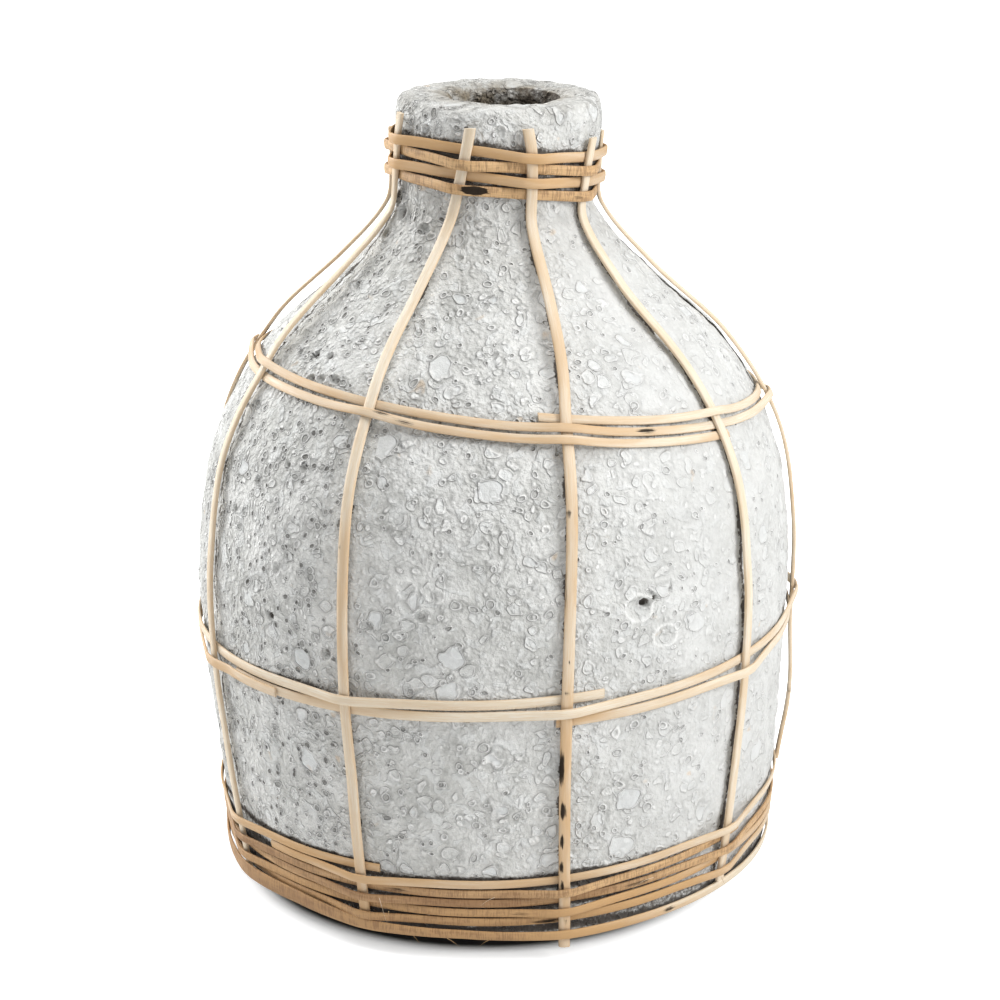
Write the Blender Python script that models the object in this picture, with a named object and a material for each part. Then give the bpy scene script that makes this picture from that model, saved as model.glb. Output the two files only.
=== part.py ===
"""Bottle vase of pitted grey clay in a cage of split cane.

The vessel is one thick clay wall with a flat foot, a wide belly, a narrow neck and a heavy lip with a small
mouth. Nine upright cane ribs stand round it, and flat cane strands are woven over and under the ribs in four
bands: neck, shoulder, belt and foot. Nine is odd, so a strand that runs on round the vessel passes on the other
side of each rib at its next turn, and that locks the weave. A hem strand below the foot band binds the lower
ends of the ribs.

Metres, +Z up, origin in the middle of the foot. Azimuth 0 faces the front (-Y) and grows towards +X.
"""

import math
from typing import NamedTuple

import bmesh
import bpy
from mathutils import Vector

# Clay wall, outside: each station has its rise above the one below, its radius and the sideways sway of its
# ring, because the wall was built by hand and its shoulder and neck lean to the left
FOOT_RISE = 0.0140
FOOT_RADIUS = 0.1355
FOOT_SWAY = -0.0005
LOWER_WALL_RISE = 0.0580
LOWER_WALL_RADIUS = 0.1418
LOWER_WALL_SWAY = -0.0020
BELLY_RISE = 0.0580
BELLY_RADIUS = 0.1455
BELLY_SWAY = -0.0030
UPPER_WALL_RISE = 0.0450
UPPER_WALL_RADIUS = 0.1447
UPPER_WALL_SWAY = -0.0029
SHOULDER_TURN_RISE = 0.0500
SHOULDER_TURN_RADIUS = 0.1350
SHOULDER_TURN_SWAY = -0.0024
SHOULDER_RISE = 0.0430
SHOULDER_RADIUS = 0.1090
SHOULDER_SWAY = -0.0022
NECK_ROOT_RISE = 0.0335
NECK_ROOT_RADIUS = 0.0730
NECK_ROOT_SWAY = -0.0022
NECK_FLARE_RISE = 0.0290
NECK_FLARE_RADIUS = 0.0492
NECK_FLARE_SWAY = -0.0030
NECK_RISE = 0.0205
NECK_RADIUS = 0.0473
NECK_SWAY = -0.0018
LIP_RISE = 0.0190
LIP_RADIUS = 0.0490
LIP_SWAY = -0.0004

# Foot: a flat face, a bevel that keeps the underside in shade and a small rounding where it meets the wall
FOOT_FACE_RADIUS = 0.1120
FOOT_EDGE_INSET = 0.0030
FOOT_EDGE_DROP = 0.0030

# Lip and hollow
LIP_CROWN = 0.0160
LIP_CORNER_DROP = 0.0100
LIP_CORNER_INSET = 0.0052
MOUTH_RADIUS = 0.0240
MOUTH_ROUNDING = 0.0060
NECK_BORE_RADIUS = 0.0290
FLARE_BORE_RADIUS = 0.0350
WALL_THICKNESS = 0.0120
BASE_THICKNESS = 0.0150
FLOOR_ROUNDING = 0.0120

# Cane sections and clearances: SEAT is how far a strand rides off the rough wall
RIB_WIDTH = 0.0053
RIB_THICKNESS = 0.0020
STRAND_THICKNESS = 0.0013
EDGE_SHARE = 0.6
SEAT = 0.0009
CLEARANCE = 0.0003
CROSSING_MARGIN = 0.0011
RIB_SEAT = SEAT + STRAND_THICKNESS + CLEARANCE
OVER_SEAT = RIB_SEAT + RIB_THICKNESS + 2 * CLEARANCE
LAP_SEAT = SEAT + STRAND_THICKNESS + 2 * CLEARANCE

# Bands: the strand's width and the gap between rows, where the first row's plane lies against a station of the
# wall, and how far the plane rises towards the front and towards the right
NECK_STRAND_WIDTH = 0.0049
NECK_ROW_GAP = 0.0012
NECK_BAND_DROP = 0.0072
NECK_FRONT_RISE = 0.0040
NECK_RIGHT_RISE = -0.0050
SHOULDER_STRAND_WIDTH = 0.0041
SHOULDER_ROW_GAP = 0.00045
SHOULDER_BAND_DROP = 0.0145
SHOULDER_FRONT_RISE = 0.0080
SHOULDER_RIGHT_RISE = -0.0110
BELT_STRAND_WIDTH = 0.0047
BELT_ROW_GAP = 0.0009
BELT_BAND_DROP = 0.0046
BELT_FRONT_RISE = -0.0024
BELT_RIGHT_RISE = 0.0053
HEM_STRAND_WIDTH = 0.0046
HEM_RISE = 0.0010
HEM_SPRING = 3.0
FOOT_STRAND_WIDTH = 0.0042
FOOT_ROW_GAP = 0.0004
FOOT_RIGHT_RISE = 0.0009
FOOT_FAN = 0.0010
FOOT_LOBE = 0.0042
FOOT_LOBE_AZIMUTH = 60.0
FOOT_LOBE_SHARPNESS = 10

# Facets
VESSEL_SIDES = 48
VESSEL_OUTER_RINGS = 24
VESSEL_INNER_RINGS = 12
ROUNDING_STEPS = 4
FINE_STEPS = 400
TURN_WEIGHT = 0.080
RIB_STEPS = 30
NECK_BAY_STEPS = 6
BODY_BAY_STEPS = 5

# Colours, linear
CLAY_COLOUR = (0.42, 0.42, 0.40, 1.0)
CANE_LIGHT_COLOUR = (0.66, 0.47, 0.27, 1.0)
CANE_BROWN_COLOUR = (0.48, 0.29, 0.16, 1.0)
CLAY_ROUGHNESS = 0.9
CANE_ROUGHNESS = 0.45


class Rib(NamedTuple):
    """Azimuths in degrees at the foot, the belt, the shoulder band, the neck's root, the neck and the top.

    The foot hangs this far below the middle of the hem, and the top stands this far above the lip's widest
    ring. The bows are how far the rib springs off its seat above the foot band, above the belt and above the
    shoulder band.
    """

    foot: float
    belt: float
    shoulder: float
    root: float
    neck: float
    top: float
    foot_drop: float
    top_rise: float
    foot_bow: float
    belly_bow: float
    shoulder_bow: float


RIBS = {
    "rib_1": Rib(-61.7, -64.5, -68.5, -71.0, -70.0, -60.0, 0.0010, 0.0110, -0.0002, -0.0004, 0.0030),
    "rib_2": Rib(-26.8, -27.1, -28.7, -28.3, -20.0, -13.0, 0.0010, 0.0085, -0.0004, -0.0005, 0.0014),
    "rib_3": Rib(12.7, 12.9, 15.2, 18.9, 19.5, 13.0, 0.0074, 0.0080, -0.0004, -0.0006, 0.0012),
    "rib_4": Rib(49.8, 52.8, 53.5, 50.6, 56.2, 57.0, -0.0052, 0.0000, -0.0003, -0.0004, 0.0014),
    "rib_5": Rib(90.0, 90.0, 90.0, 91.0, 102.0, 116.0, -0.0306, -0.0045, 0.0026, 0.0004, 0.0000),
    "rib_6": Rib(130.0, 130.0, 130.0, 131.0, 133.0, 132.0, 0.0030, 0.0070, 0.0004, -0.0004, 0.0014),
    "rib_7": Rib(170.0, 170.0, 170.0, 171.5, 168.0, 166.0, 0.0035, 0.0060, -0.0003, -0.0002, 0.0012),
    "rib_8": Rib(212.0, 212.0, 212.0, 210.0, 213.0, 215.0, 0.0030, 0.0080, -0.0004, 0.0004, 0.0014),
    "rib_9": Rib(254.5, 254.5, 256.0, 258.0, 262.0, 262.0, 0.0010, -0.0015, 0.0003, -0.0004, 0.0016),
}


class Strand(NamedTuple):
    """Azimuths of both ends in degrees, counted on through the turns from the band's first row.

    It passes over and under by turns, from over_first on, except at the crossings listed as kept, where it
    stays on the side of the one before, or it stays over every rib. A lapped end lies over another end.
    """

    band: str
    row: int
    start: float
    end: float
    over_first: bool
    colour: str
    kept: tuple = ()
    lapped_from: float = math.inf
    over_all: bool = False


STRANDS = {
    "neck_strand_1": Strand("neck", 0, 123.0, 497.0, True, "light"),
    "neck_strand_2": Strand("neck", 1, 163.0, 537.0, True, "brown"),
    "neck_strand_3": Strand("neck", 2, 123.0, 497.0, True, "light"),
    "neck_strand_4": Strand("neck", 3, 163.0, 537.0, True, "brown"),
    "shoulder_strand": Strand("shoulder", 0, 9.5, 776.5, False, "light", kept=(18,)),
    "belt_strand_lower": Strand("belt", 0, 11.2, 317.0, False, "light", lapped_from=303.0),
    "belt_strand_upper": Strand("belt", 0, 304.0, 740.0, False, "light"),
    "hem_strand": Strand("hem", 0, -135.0, 240.0, True, "light", lapped_from=226.0, over_all=True),
    "foot_strand_lower": Strand("foot", 0, 262.5, 874.0, False, "light", lapped_from=860.0),
    "foot_strand_middle": Strand("foot", 0, 861.0, 1496.0, True, "brown"),
    "foot_strand_top": Strand("foot", 0, 1749.0, 2137.0, True, "light"),
}


def running_heights(rises):
    """Heights of stations from the rise of each above the one below."""
    heights = []
    for rise in rises:
        heights.append(rise + (heights[-1] if heights else 0.0))
    return heights


STATION_HEIGHTS = running_heights((
    FOOT_RISE, LOWER_WALL_RISE, BELLY_RISE, UPPER_WALL_RISE, SHOULDER_TURN_RISE,
    SHOULDER_RISE, NECK_ROOT_RISE, NECK_FLARE_RISE, NECK_RISE, LIP_RISE,
))
STATION_RADII = (
    FOOT_RADIUS, LOWER_WALL_RADIUS, BELLY_RADIUS, UPPER_WALL_RADIUS, SHOULDER_TURN_RADIUS,
    SHOULDER_RADIUS, NECK_ROOT_RADIUS, NECK_FLARE_RADIUS, NECK_RADIUS, LIP_RADIUS,
)
STATION_SWAYS = (
    FOOT_SWAY, LOWER_WALL_SWAY, BELLY_SWAY, UPPER_WALL_SWAY, SHOULDER_TURN_SWAY,
    SHOULDER_SWAY, NECK_ROOT_SWAY, NECK_FLARE_SWAY, NECK_SWAY, LIP_SWAY,
)
BELLY_HEIGHT = STATION_HEIGHTS[2]
SHOULDER_HEIGHT = STATION_HEIGHTS[5]
NECK_ROOT_HEIGHT = STATION_HEIGHTS[6]
NECK_FLARE_HEIGHT = STATION_HEIGHTS[7]
NECK_HEIGHT = STATION_HEIGHTS[8]
LIP_HEIGHT = STATION_HEIGHTS[9]
TOP_HEIGHT = LIP_HEIGHT + LIP_CROWN

# Heights of the bands' planes, and the steps between their rows
NECK_BAND_HEIGHT = LIP_HEIGHT - NECK_BAND_DROP
SHOULDER_BAND_HEIGHT = SHOULDER_HEIGHT - SHOULDER_BAND_DROP
BELT_BAND_HEIGHT = BELLY_HEIGHT - BELT_BAND_DROP
HEM_HEIGHT = FOOT_RISE + HEM_RISE
NECK_STEP = NECK_STRAND_WIDTH + NECK_ROW_GAP
SHOULDER_STEP = SHOULDER_STRAND_WIDTH + SHOULDER_ROW_GAP
BELT_STEP = BELT_STRAND_WIDTH + BELT_ROW_GAP
FOOT_STEP = FOOT_STRAND_WIDTH + FOOT_ROW_GAP
NECK_ROWS = sum(strand.band == "neck" for strand in STRANDS.values())
FOOT_ROWS = STRANDS["foot_strand_top"].end / 360.0
FOOT_HEAD_START = 1.0 - STRANDS["foot_strand_lower"].start / 360.0
STRAND_WIDTHS = {
    "neck": NECK_STRAND_WIDTH,
    "shoulder": SHOULDER_STRAND_WIDTH,
    "belt": BELT_STRAND_WIDTH,
    "hem": HEM_STRAND_WIDTH,
    "foot": FOOT_STRAND_WIDTH,
}


def smooth_value(height, knots, values):
    """Value at a height on a smooth curve through the knots, level with the end knots outside them."""
    height = min(max(height, knots[0]), knots[-1])
    last = len(knots) - 1
    index = next(i for i in range(last) if height <= knots[i + 1])

    def slope(i):
        low, high = max(i - 1, 0), min(i + 1, last)
        return (values[high] - values[low]) / (knots[high] - knots[low])

    span = knots[index + 1] - knots[index]
    t = (height - knots[index]) / span
    return (
        values[index] * (1 + 2 * t) * (1 - t) ** 2
        + slope(index) * span * t * (1 - t) ** 2
        + values[index + 1] * t * t * (3 - 2 * t)
        + slope(index + 1) * span * t * t * (t - 1)
    )


def wall_radius(height):
    return smooth_value(height, STATION_HEIGHTS, STATION_RADII)


def wall_sway(height):
    return smooth_value(height, STATION_HEIGHTS, STATION_SWAYS)


def wall_slope(height):
    """Change of radius with height."""
    step = 0.0005
    return (wall_radius(height + step) - wall_radius(height - step)) / (2 * step)


def stepped_heights(bottom, top, steps):
    """Heights up the wall in steps that are even in length plus a weight on the wall's turning."""
    samples = [bottom + (top - bottom) * i / FINE_STEPS for i in range(FINE_STEPS + 1)]
    lengths = [0.0]
    for low, high in zip(samples, samples[1:]):
        run = math.hypot(high - low, wall_radius(high) - wall_radius(low))
        turn = abs(math.atan(wall_slope(high)) - math.atan(wall_slope(low)))
        lengths.append(lengths[-1] + run + TURN_WEIGHT * turn)
    targets = [lengths[-1] * i / steps for i in range(1, steps)]
    inner = [samples[next(j for j, length in enumerate(lengths) if length >= target)] for target in targets]
    return [bottom, *inner, top]


def radial(azimuth):
    return Vector((math.sin(azimuth), -math.cos(azimuth), 0.0))


def wall_frame(azimuth, height, offset):
    """Point at an offset off the wall, with the directions along the ring, up the wall and out of it."""
    outward = (radial(azimuth) - Vector((0, 0, wall_slope(height)))).normalized()
    around = Vector((math.cos(azimuth), math.sin(azimuth), 0.0))
    centre = Vector((wall_sway(height), 0.0, height))
    point = centre + radial(azimuth) * wall_radius(height) + outward * offset
    return point, around, outward.cross(around), outward


def strip_ring(point, across, outward, width, thickness):
    """Cross-section of split cane: flat inside, crowned outside."""
    half = width / 2
    edge = thickness * EDGE_SHARE
    outline = ((-half, 0.0), (half, 0.0), (half, edge), (0.0, thickness), (-half, edge))
    return [point + across * x + outward * y for x, y in outline]


def new_material(name, colour, roughness):
    material = bpy.data.materials.new(name)
    material.use_nodes = True
    shader = material.node_tree.nodes["Principled BSDF"]
    shader.inputs["Base Color"].default_value = colour
    shader.inputs["Roughness"].default_value = roughness
    shader.inputs["Metallic"].default_value = 0.0
    material.diffuse_color = colour
    return material


def add_object(name, mesh, material, sharp_angle):
    bmesh.ops.recalc_face_normals(mesh, faces=mesh.faces)
    data = bpy.data.meshes.new(name)
    mesh.to_mesh(data)
    mesh.free()
    data.materials.append(material)
    data.shade_smooth()
    data.set_sharp_from_angle(angle=math.radians(sharp_angle))
    piece = bpy.data.objects.new(name, data)
    bpy.context.scene.collection.objects.link(piece)
    return piece


def sweep(name, rings, material):
    """One closed strip, extruded ring by ring from its first end."""
    mesh = bmesh.new()
    end = mesh.faces.new([mesh.verts.new(point) for point in rings[0]])
    for ring in rings[1:]:
        region = [end, *end.edges, *end.verts]
        extruded = bmesh.ops.extrude_face_region(mesh, geom=region)["geom"]
        end = next(item for item in extruded if isinstance(item, bmesh.types.BMFace))
        for vertex, point in zip(end.verts, ring):
            vertex.co = point
    return add_object(name, mesh, material, 30)


def quarter_round(centre, across, up, steps):
    """Points of a quarter ellipse about a centre, from its side at across to its top at up."""
    turns = [math.pi / 2 * i / steps for i in range(steps + 1)]
    return [(centre[0] + across * math.cos(a), centre[1] + up * math.sin(a)) for a in turns]


def outer_outline():
    """Vessel outline outside, from the axis at the foot up to the lip's widest ring."""
    edge = quarter_round(
        (FOOT_RADIUS - FOOT_EDGE_INSET, FOOT_RISE), FOOT_EDGE_INSET, -FOOT_EDGE_DROP, ROUNDING_STEPS
    )
    points = [(0.0, 0.0), (FOOT_FACE_RADIUS, 0.0)] + edge[::-1]
    heights = stepped_heights(FOOT_RISE, LIP_HEIGHT, VESSEL_OUTER_RINGS)[1:]
    return points + [(wall_radius(height), height) for height in heights]


def lip_outline():
    """Rounded lip, from just above its widest ring over the crown and into the mouth."""
    outside = quarter_round(
        (LIP_RADIUS - LIP_CORNER_INSET, TOP_HEIGHT - LIP_CORNER_DROP),
        LIP_CORNER_INSET, LIP_CORNER_DROP, ROUNDING_STEPS,
    )
    inside = quarter_round(
        (MOUTH_RADIUS + MOUTH_ROUNDING, TOP_HEIGHT - MOUTH_ROUNDING),
        -MOUTH_ROUNDING, MOUTH_ROUNDING, ROUNDING_STEPS,
    )
    return outside + inside[::-1]


def hollow_radius(height):
    """Radius of the hollow: a wall's thickness inside the body, and a narrower bore in the neck."""
    def inside_wall(at):
        return wall_radius(at) - WALL_THICKNESS * math.hypot(1.0, wall_slope(at))

    if height < NECK_ROOT_HEIGHT:
        return inside_wall(height)
    knots = (NECK_ROOT_HEIGHT, NECK_FLARE_HEIGHT, NECK_HEIGHT, TOP_HEIGHT - MOUTH_ROUNDING)
    radii = (inside_wall(NECK_ROOT_HEIGHT), FLARE_BORE_RADIUS, NECK_BORE_RADIUS, MOUTH_RADIUS)
    return smooth_value(height, knots, radii)


def hollow_outline():
    """Vessel outline inside, from below the mouth down to the axis on the floor."""
    top = TOP_HEIGHT - MOUTH_ROUNDING
    low = BASE_THICKNESS + FLOOR_ROUNDING
    points = []
    for i in range(1, VESSEL_INNER_RINGS + 1):
        height = top + (low - top) * i / VESSEL_INNER_RINGS
        points.append((hollow_radius(height), height))
    floor_round = quarter_round(
        (hollow_radius(low) - FLOOR_ROUNDING, low), FLOOR_ROUNDING, -FLOOR_ROUNDING, ROUNDING_STEPS
    )
    return points + floor_round[1:] + [(0.0, BASE_THICKNESS)]


def build_vessel(material):
    """The outline turned once round the axis, then each ring moved by the wall's sway."""
    mesh = bmesh.new()
    outline = outer_outline() + lip_outline() + hollow_outline()
    points = [mesh.verts.new((radius, 0.0, height)) for radius, height in outline]
    edges = [mesh.edges.new(pair) for pair in zip(points, points[1:])]
    bmesh.ops.spin(
        mesh, geom=points + edges, cent=(0, 0, 0), axis=(0, 0, 1), dvec=(0, 0, 0),
        angle=2 * math.pi, steps=VESSEL_SIDES, use_merge=True, use_duplicate=False,
    )
    bmesh.ops.remove_doubles(mesh, verts=mesh.verts, dist=0.00001)
    for vertex in mesh.verts:
        vertex.co.x += wall_sway(vertex.co.z)
    return add_object("vessel", mesh, material, 40)


def rib_azimuth(rib, height):
    """Azimuth of a rib in radians."""
    knots = (
        HEM_HEIGHT, BELT_BAND_HEIGHT, SHOULDER_BAND_HEIGHT, NECK_ROOT_HEIGHT, NECK_HEIGHT, TOP_HEIGHT,
    )
    azimuths = (rib.foot, rib.belt, rib.shoulder, rib.root, rib.neck, rib.top)
    return math.radians(smooth_value(height, knots, azimuths))


def rib_bow(rib, height):
    """How far a rib stands out from its seat between two bands."""
    marks = (
        HEM_HEIGHT + FOOT_ROWS * FOOT_STEP,
        BELT_BAND_HEIGHT,
        SHOULDER_BAND_HEIGHT,
        NECK_BAND_HEIGHT - NECK_ROWS * NECK_STEP,
    )
    for low, high, bow in zip(marks, marks[1:], (rib.foot_bow, rib.belly_bow, rib.shoulder_bow)):
        if low < height < high:
            return bow * math.sin(math.pi * (height - low) / (high - low)) ** 2
    return 0.0


def build_rib(name, material):
    """An upright laid up the wall, straight past the foot's curve and the lip."""
    rib = RIBS[name]
    rings = []
    for height in stepped_heights(HEM_HEIGHT - rib.foot_drop, LIP_HEIGHT + rib.top_rise, RIB_STEPS):
        at_wall = min(max(height, FOOT_RISE), LIP_HEIGHT)
        azimuth = rib_azimuth(rib, height)
        point, around, _, outward = wall_frame(azimuth, at_wall, RIB_SEAT + rib_bow(rib, height))
        point.z += height - at_wall
        rings.append(strip_ring(point, around, outward, RIB_WIDTH, RIB_THICKNESS))
    return sweep(name, rings, material)


def strand_height(strand, azimuth):
    """Height of a strand's middle at an azimuth counted on through the turns, in radians."""
    front, right = math.cos(azimuth), math.sin(azimuth)
    turns = azimuth / (2 * math.pi)
    lobe = (1 + math.cos(azimuth - math.radians(FOOT_LOBE_AZIMUTH))) / 2
    row = turns + FOOT_HEAD_START
    heights = {
        "neck": NECK_BAND_HEIGHT - strand.row * NECK_STEP + NECK_FRONT_RISE * front + NECK_RIGHT_RISE * right,
        "shoulder": SHOULDER_BAND_HEIGHT - SHOULDER_STEP * turns
        + SHOULDER_FRONT_RISE * front + SHOULDER_RIGHT_RISE * right,
        "belt": BELT_BAND_HEIGHT + BELT_STEP * turns + BELT_FRONT_RISE * front + BELT_RIGHT_RISE * right,
        "hem": HEM_HEIGHT + FOOT_RIGHT_RISE * right,
        "foot": HEM_HEIGHT + FOOT_STEP * row + FOOT_RIGHT_RISE * right
        + FOOT_FAN * (row - 1) * (1 + right) / 2 + FOOT_LOBE * lobe ** FOOT_LOBE_SHARPNESS,
    }
    return heights[strand.band]


def crossings_of(strand):
    """Where a strand meets the ribs: azimuth, half the crossing's width in radians, and whether it is over."""
    start, end = math.radians(strand.start), math.radians(strand.end)
    found = []
    for rib in RIBS.values():
        belt = math.radians(rib.belt)
        turn = 2 * math.pi * math.floor((start - belt) / (2 * math.pi))
        while belt + turn < end:
            height = strand_height(strand, belt + turn)
            azimuth = rib_azimuth(rib, height) + turn
            half = (RIB_WIDTH / 2 + CROSSING_MARGIN) / wall_radius(height)
            reached = height + STRAND_WIDTHS[strand.band] / 2 + CLEARANCE > HEM_HEIGHT - rib.foot_drop
            if start < azimuth - half and azimuth + half < end:
                found.append((azimuth, half, reached))
            turn += 2 * math.pi
    found.sort()
    crossings = []
    over = strand.over_first
    for count, (azimuth, half, reached) in enumerate(found):
        if count and count not in strand.kept and not strand.over_all:
            over = not over
        crossings.append((azimuth, half, over and reached))
    return crossings


def lift(radius, height, away, spring):
    """Offset of a strip over a step of some height, at an angle away from it: a spring of 1 is drawn tight."""
    reach = spring * math.sqrt(2 * (height - SEAT) / radius)
    return SEAT + (height - SEAT) * max(0.0, 1 - max(away, 0.0) / reach) ** 2


def strand_offset(strand, azimuth, crossings):
    """How far a strand's inner face stands off the wall."""
    radius = wall_radius(strand_height(strand, azimuth))
    offset = SEAT
    spring = HEM_SPRING if strand.over_all else 1.0
    for at, half, over in crossings:
        if over:
            offset = max(offset, lift(radius, OVER_SEAT, abs(azimuth - at) - half, spring))
    if strand.lapped_from < strand.end:
        offset = max(offset, lift(radius, LAP_SEAT, math.radians(strand.lapped_from) - azimuth, 1.0))
    return offset


def strand_stations(strand, crossings):
    """Azimuths at both edges of each crossing, with even steps between them."""
    bay_steps = NECK_BAY_STEPS if strand.band == "neck" else BODY_BAY_STEPS
    rib_pitch = 2 * math.pi / len(RIBS)
    marks = [math.radians(strand.start)]
    for azimuth, half, _ in crossings:
        marks += [azimuth - half, azimuth + half]
    marks.append(math.radians(strand.end))
    stations = []
    for low, high in zip(marks[::2], marks[1::2]):
        steps = max(1, round((high - low) / rib_pitch * bay_steps))
        stations += [low + (high - low) * i / steps for i in range(steps + 1)]
    return stations


def build_strand(name, material):
    strand = STRANDS[name]
    crossings = crossings_of(strand)
    width = STRAND_WIDTHS[strand.band]
    rings = []
    for azimuth in strand_stations(strand, crossings):
        offset = strand_offset(strand, azimuth, crossings)
        point, _, up, outward = wall_frame(azimuth, strand_height(strand, azimuth), offset)
        rings.append(strip_ring(point, up, outward, width, STRAND_THICKNESS))
    return sweep(name, rings, material)


def least_gap(strand):
    """Smallest clear height between a wound strand's edge and its own edge one turn on."""
    start, last = math.radians(strand.start), math.radians(strand.end) - 2 * math.pi
    azimuths = [start + (last - start) * i / FINE_STEPS for i in range(FINE_STEPS + 1)]
    steps = [abs(strand_height(strand, at + 2 * math.pi) - strand_height(strand, at)) for at in azimuths]
    return min(steps) - STRAND_WIDTHS[strand.band]


def clear_scene():
    for piece in list(bpy.data.objects):
        bpy.data.objects.remove(piece, do_unlink=True)


def main():
    clear_scene()
    clay = new_material("clay", CLAY_COLOUR, CLAY_ROUGHNESS)
    canes = {
        "light": new_material("cane_light", CANE_LIGHT_COLOUR, CANE_ROUGHNESS),
        "brown": new_material("cane_brown", CANE_BROWN_COLOUR, CANE_ROUGHNESS),
    }
    build_vessel(clay)
    for name in RIBS:
        build_rib(name, canes["light"])
    for name, strand in STRANDS.items():
        build_strand(name, canes[strand.colour])
        if strand.end - strand.start > 360.0 and strand.band not in ("neck", "hem"):
            print(f"{name}: its turns lie {1000 * least_gap(strand):.2f} mm apart")
    print(f"height {TOP_HEIGHT:.4f} m, belly {2 * BELLY_RADIUS:.4f} m, {len(RIBS)} ribs, {len(STRANDS)} strands")


main()
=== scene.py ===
# %% [markdown]
# # A pitted clay vase in a cage of split cane
#
# The vase is one thick wall of rough grey clay with a narrow neck and a heavy lip. Nine flat cane ribs
# stand round it, and cane strands are woven over and under them at the neck, the shoulder, the middle and
# the foot.
#
# The solids of the vase are already made and come in as a fixed frame. This lesson gives them their
# looks: it remakes each piece with the small unevenness of handwork and gives clay and cane their own
# materials. All pieces share one frame in metres, with +Z up and the front of the vase towards -Y.

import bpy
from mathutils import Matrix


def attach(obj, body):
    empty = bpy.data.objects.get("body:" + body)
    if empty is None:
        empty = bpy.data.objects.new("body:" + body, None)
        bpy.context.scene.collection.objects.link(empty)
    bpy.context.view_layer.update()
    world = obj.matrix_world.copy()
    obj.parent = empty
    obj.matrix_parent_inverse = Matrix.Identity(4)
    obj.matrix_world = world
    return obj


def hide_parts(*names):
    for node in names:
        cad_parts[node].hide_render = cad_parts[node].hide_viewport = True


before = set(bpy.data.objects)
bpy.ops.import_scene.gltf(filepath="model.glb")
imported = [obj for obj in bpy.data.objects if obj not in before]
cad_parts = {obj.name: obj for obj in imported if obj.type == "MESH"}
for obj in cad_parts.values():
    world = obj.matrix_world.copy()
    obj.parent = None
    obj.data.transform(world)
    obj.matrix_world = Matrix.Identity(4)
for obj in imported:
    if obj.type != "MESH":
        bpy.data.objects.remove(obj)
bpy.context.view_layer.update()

# %% The tools of this lesson
import math
from collections import namedtuple

import bmesh
import bpy
import numpy as np
from mathutils import Vector, noise

# %% [markdown]
# ## The line of the wall
#
# Every piece follows the clay wall, so the wall comes first. A traced curve would do, but a short list of
# stations is easier to change: each has a height, a radius and a sway, which is how far its ring leans
# sideways, because the wall was built by hand. A smooth curve runs through the stations.

# %% Stations up the wall
FOOT_HEIGHT = 0.0140
STATION_HEIGHTS = (0.0140, 0.0720, 0.1300, 0.1750, 0.2250, 0.2680, 0.3015, 0.3305, 0.3510, 0.3700)
STATION_RADII = (0.1355, 0.1418, 0.1455, 0.1447, 0.1350, 0.1090, 0.0730, 0.0492, 0.0473, 0.0490)
STATION_SWAYS = (-0.0005, -0.0020, -0.0030, -0.0029, -0.0024, -0.0022, -0.0022, -0.0030, -0.0018, -0.0004)
BELLY_HEIGHT = STATION_HEIGHTS[2]
SHOULDER_HEIGHT = STATION_HEIGHTS[5]
NECK_ROOT_HEIGHT = STATION_HEIGHTS[6]
NECK_HEIGHT = STATION_HEIGHTS[8]
LIP_HEIGHT = STATION_HEIGHTS[9]
TOP_HEIGHT = LIP_HEIGHT + 0.0160
print(f"the vase is {1000 * TOP_HEIGHT:.0f} mm high")


# %% A smooth curve through the stations
def smooth_value(height, knots, values):
    """Value at a height on a smooth curve through the knots, level with the end knots outside them."""
    height = min(max(height, knots[0]), knots[-1])
    last = len(knots) - 1
    index = next(i for i in range(last) if height <= knots[i + 1])

    def slope(i):
        low, high = max(i - 1, 0), min(i + 1, last)
        return (values[high] - values[low]) / (knots[high] - knots[low])

    span = knots[index + 1] - knots[index]
    t = (height - knots[index]) / span
    return (
        values[index] * (1 + 2 * t) * (1 - t) ** 2
        + slope(index) * span * t * (1 - t) ** 2
        + values[index + 1] * t * t * (3 - 2 * t)
        + slope(index + 1) * span * t * t * (t - 1)
    )


def wall_radius(height):
    return smooth_value(height, STATION_HEIGHTS, STATION_RADII)


def wall_sway(height):
    return smooth_value(height, STATION_HEIGHTS, STATION_SWAYS)


def wall_slope(height):
    """Change of radius with height."""
    near = 0.0005
    return (wall_radius(height + near) - wall_radius(height - near)) / (2 * near)


print(f"radius at the belly {1000 * wall_radius(BELLY_HEIGHT):.1f} mm")


# %% A place on the wall
def radial(azimuth):
    return Vector((math.sin(azimuth), -math.cos(azimuth), 0.0))


def wall_frame(azimuth, height, offset):
    """Point at an offset off the wall, with the directions along the ring, up the wall and out of it."""
    outward = (radial(azimuth) - Vector((0, 0, wall_slope(height)))).normalized()
    around = Vector((math.cos(azimuth), math.sin(azimuth), 0.0))
    centre = Vector((wall_sway(height), 0.0, height))
    point = centre + radial(azimuth) * wall_radius(height) + outward * offset
    return point, around, outward.cross(around), outward


# %% [markdown]
# ## The way of each rib and strand
#
# On the real vase the ribs were laid up the wall and the strands woven round them, so each has its own
# line. A rib has its azimuth at the foot, the belt, the shoulder band, the neck's root, the neck and the
# top, then how far it passes the foot and the lip, and the bows with which it springs off the wall
# between the bands. Azimuth 0 faces the front and grows to the right. A strand has a band, a row, two
# ends in degrees, counted on through its turns, and whether it starts over a rib. At a kept crossing it
# stays on the same side as before, and it laps over another end from one azimuth on.

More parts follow.
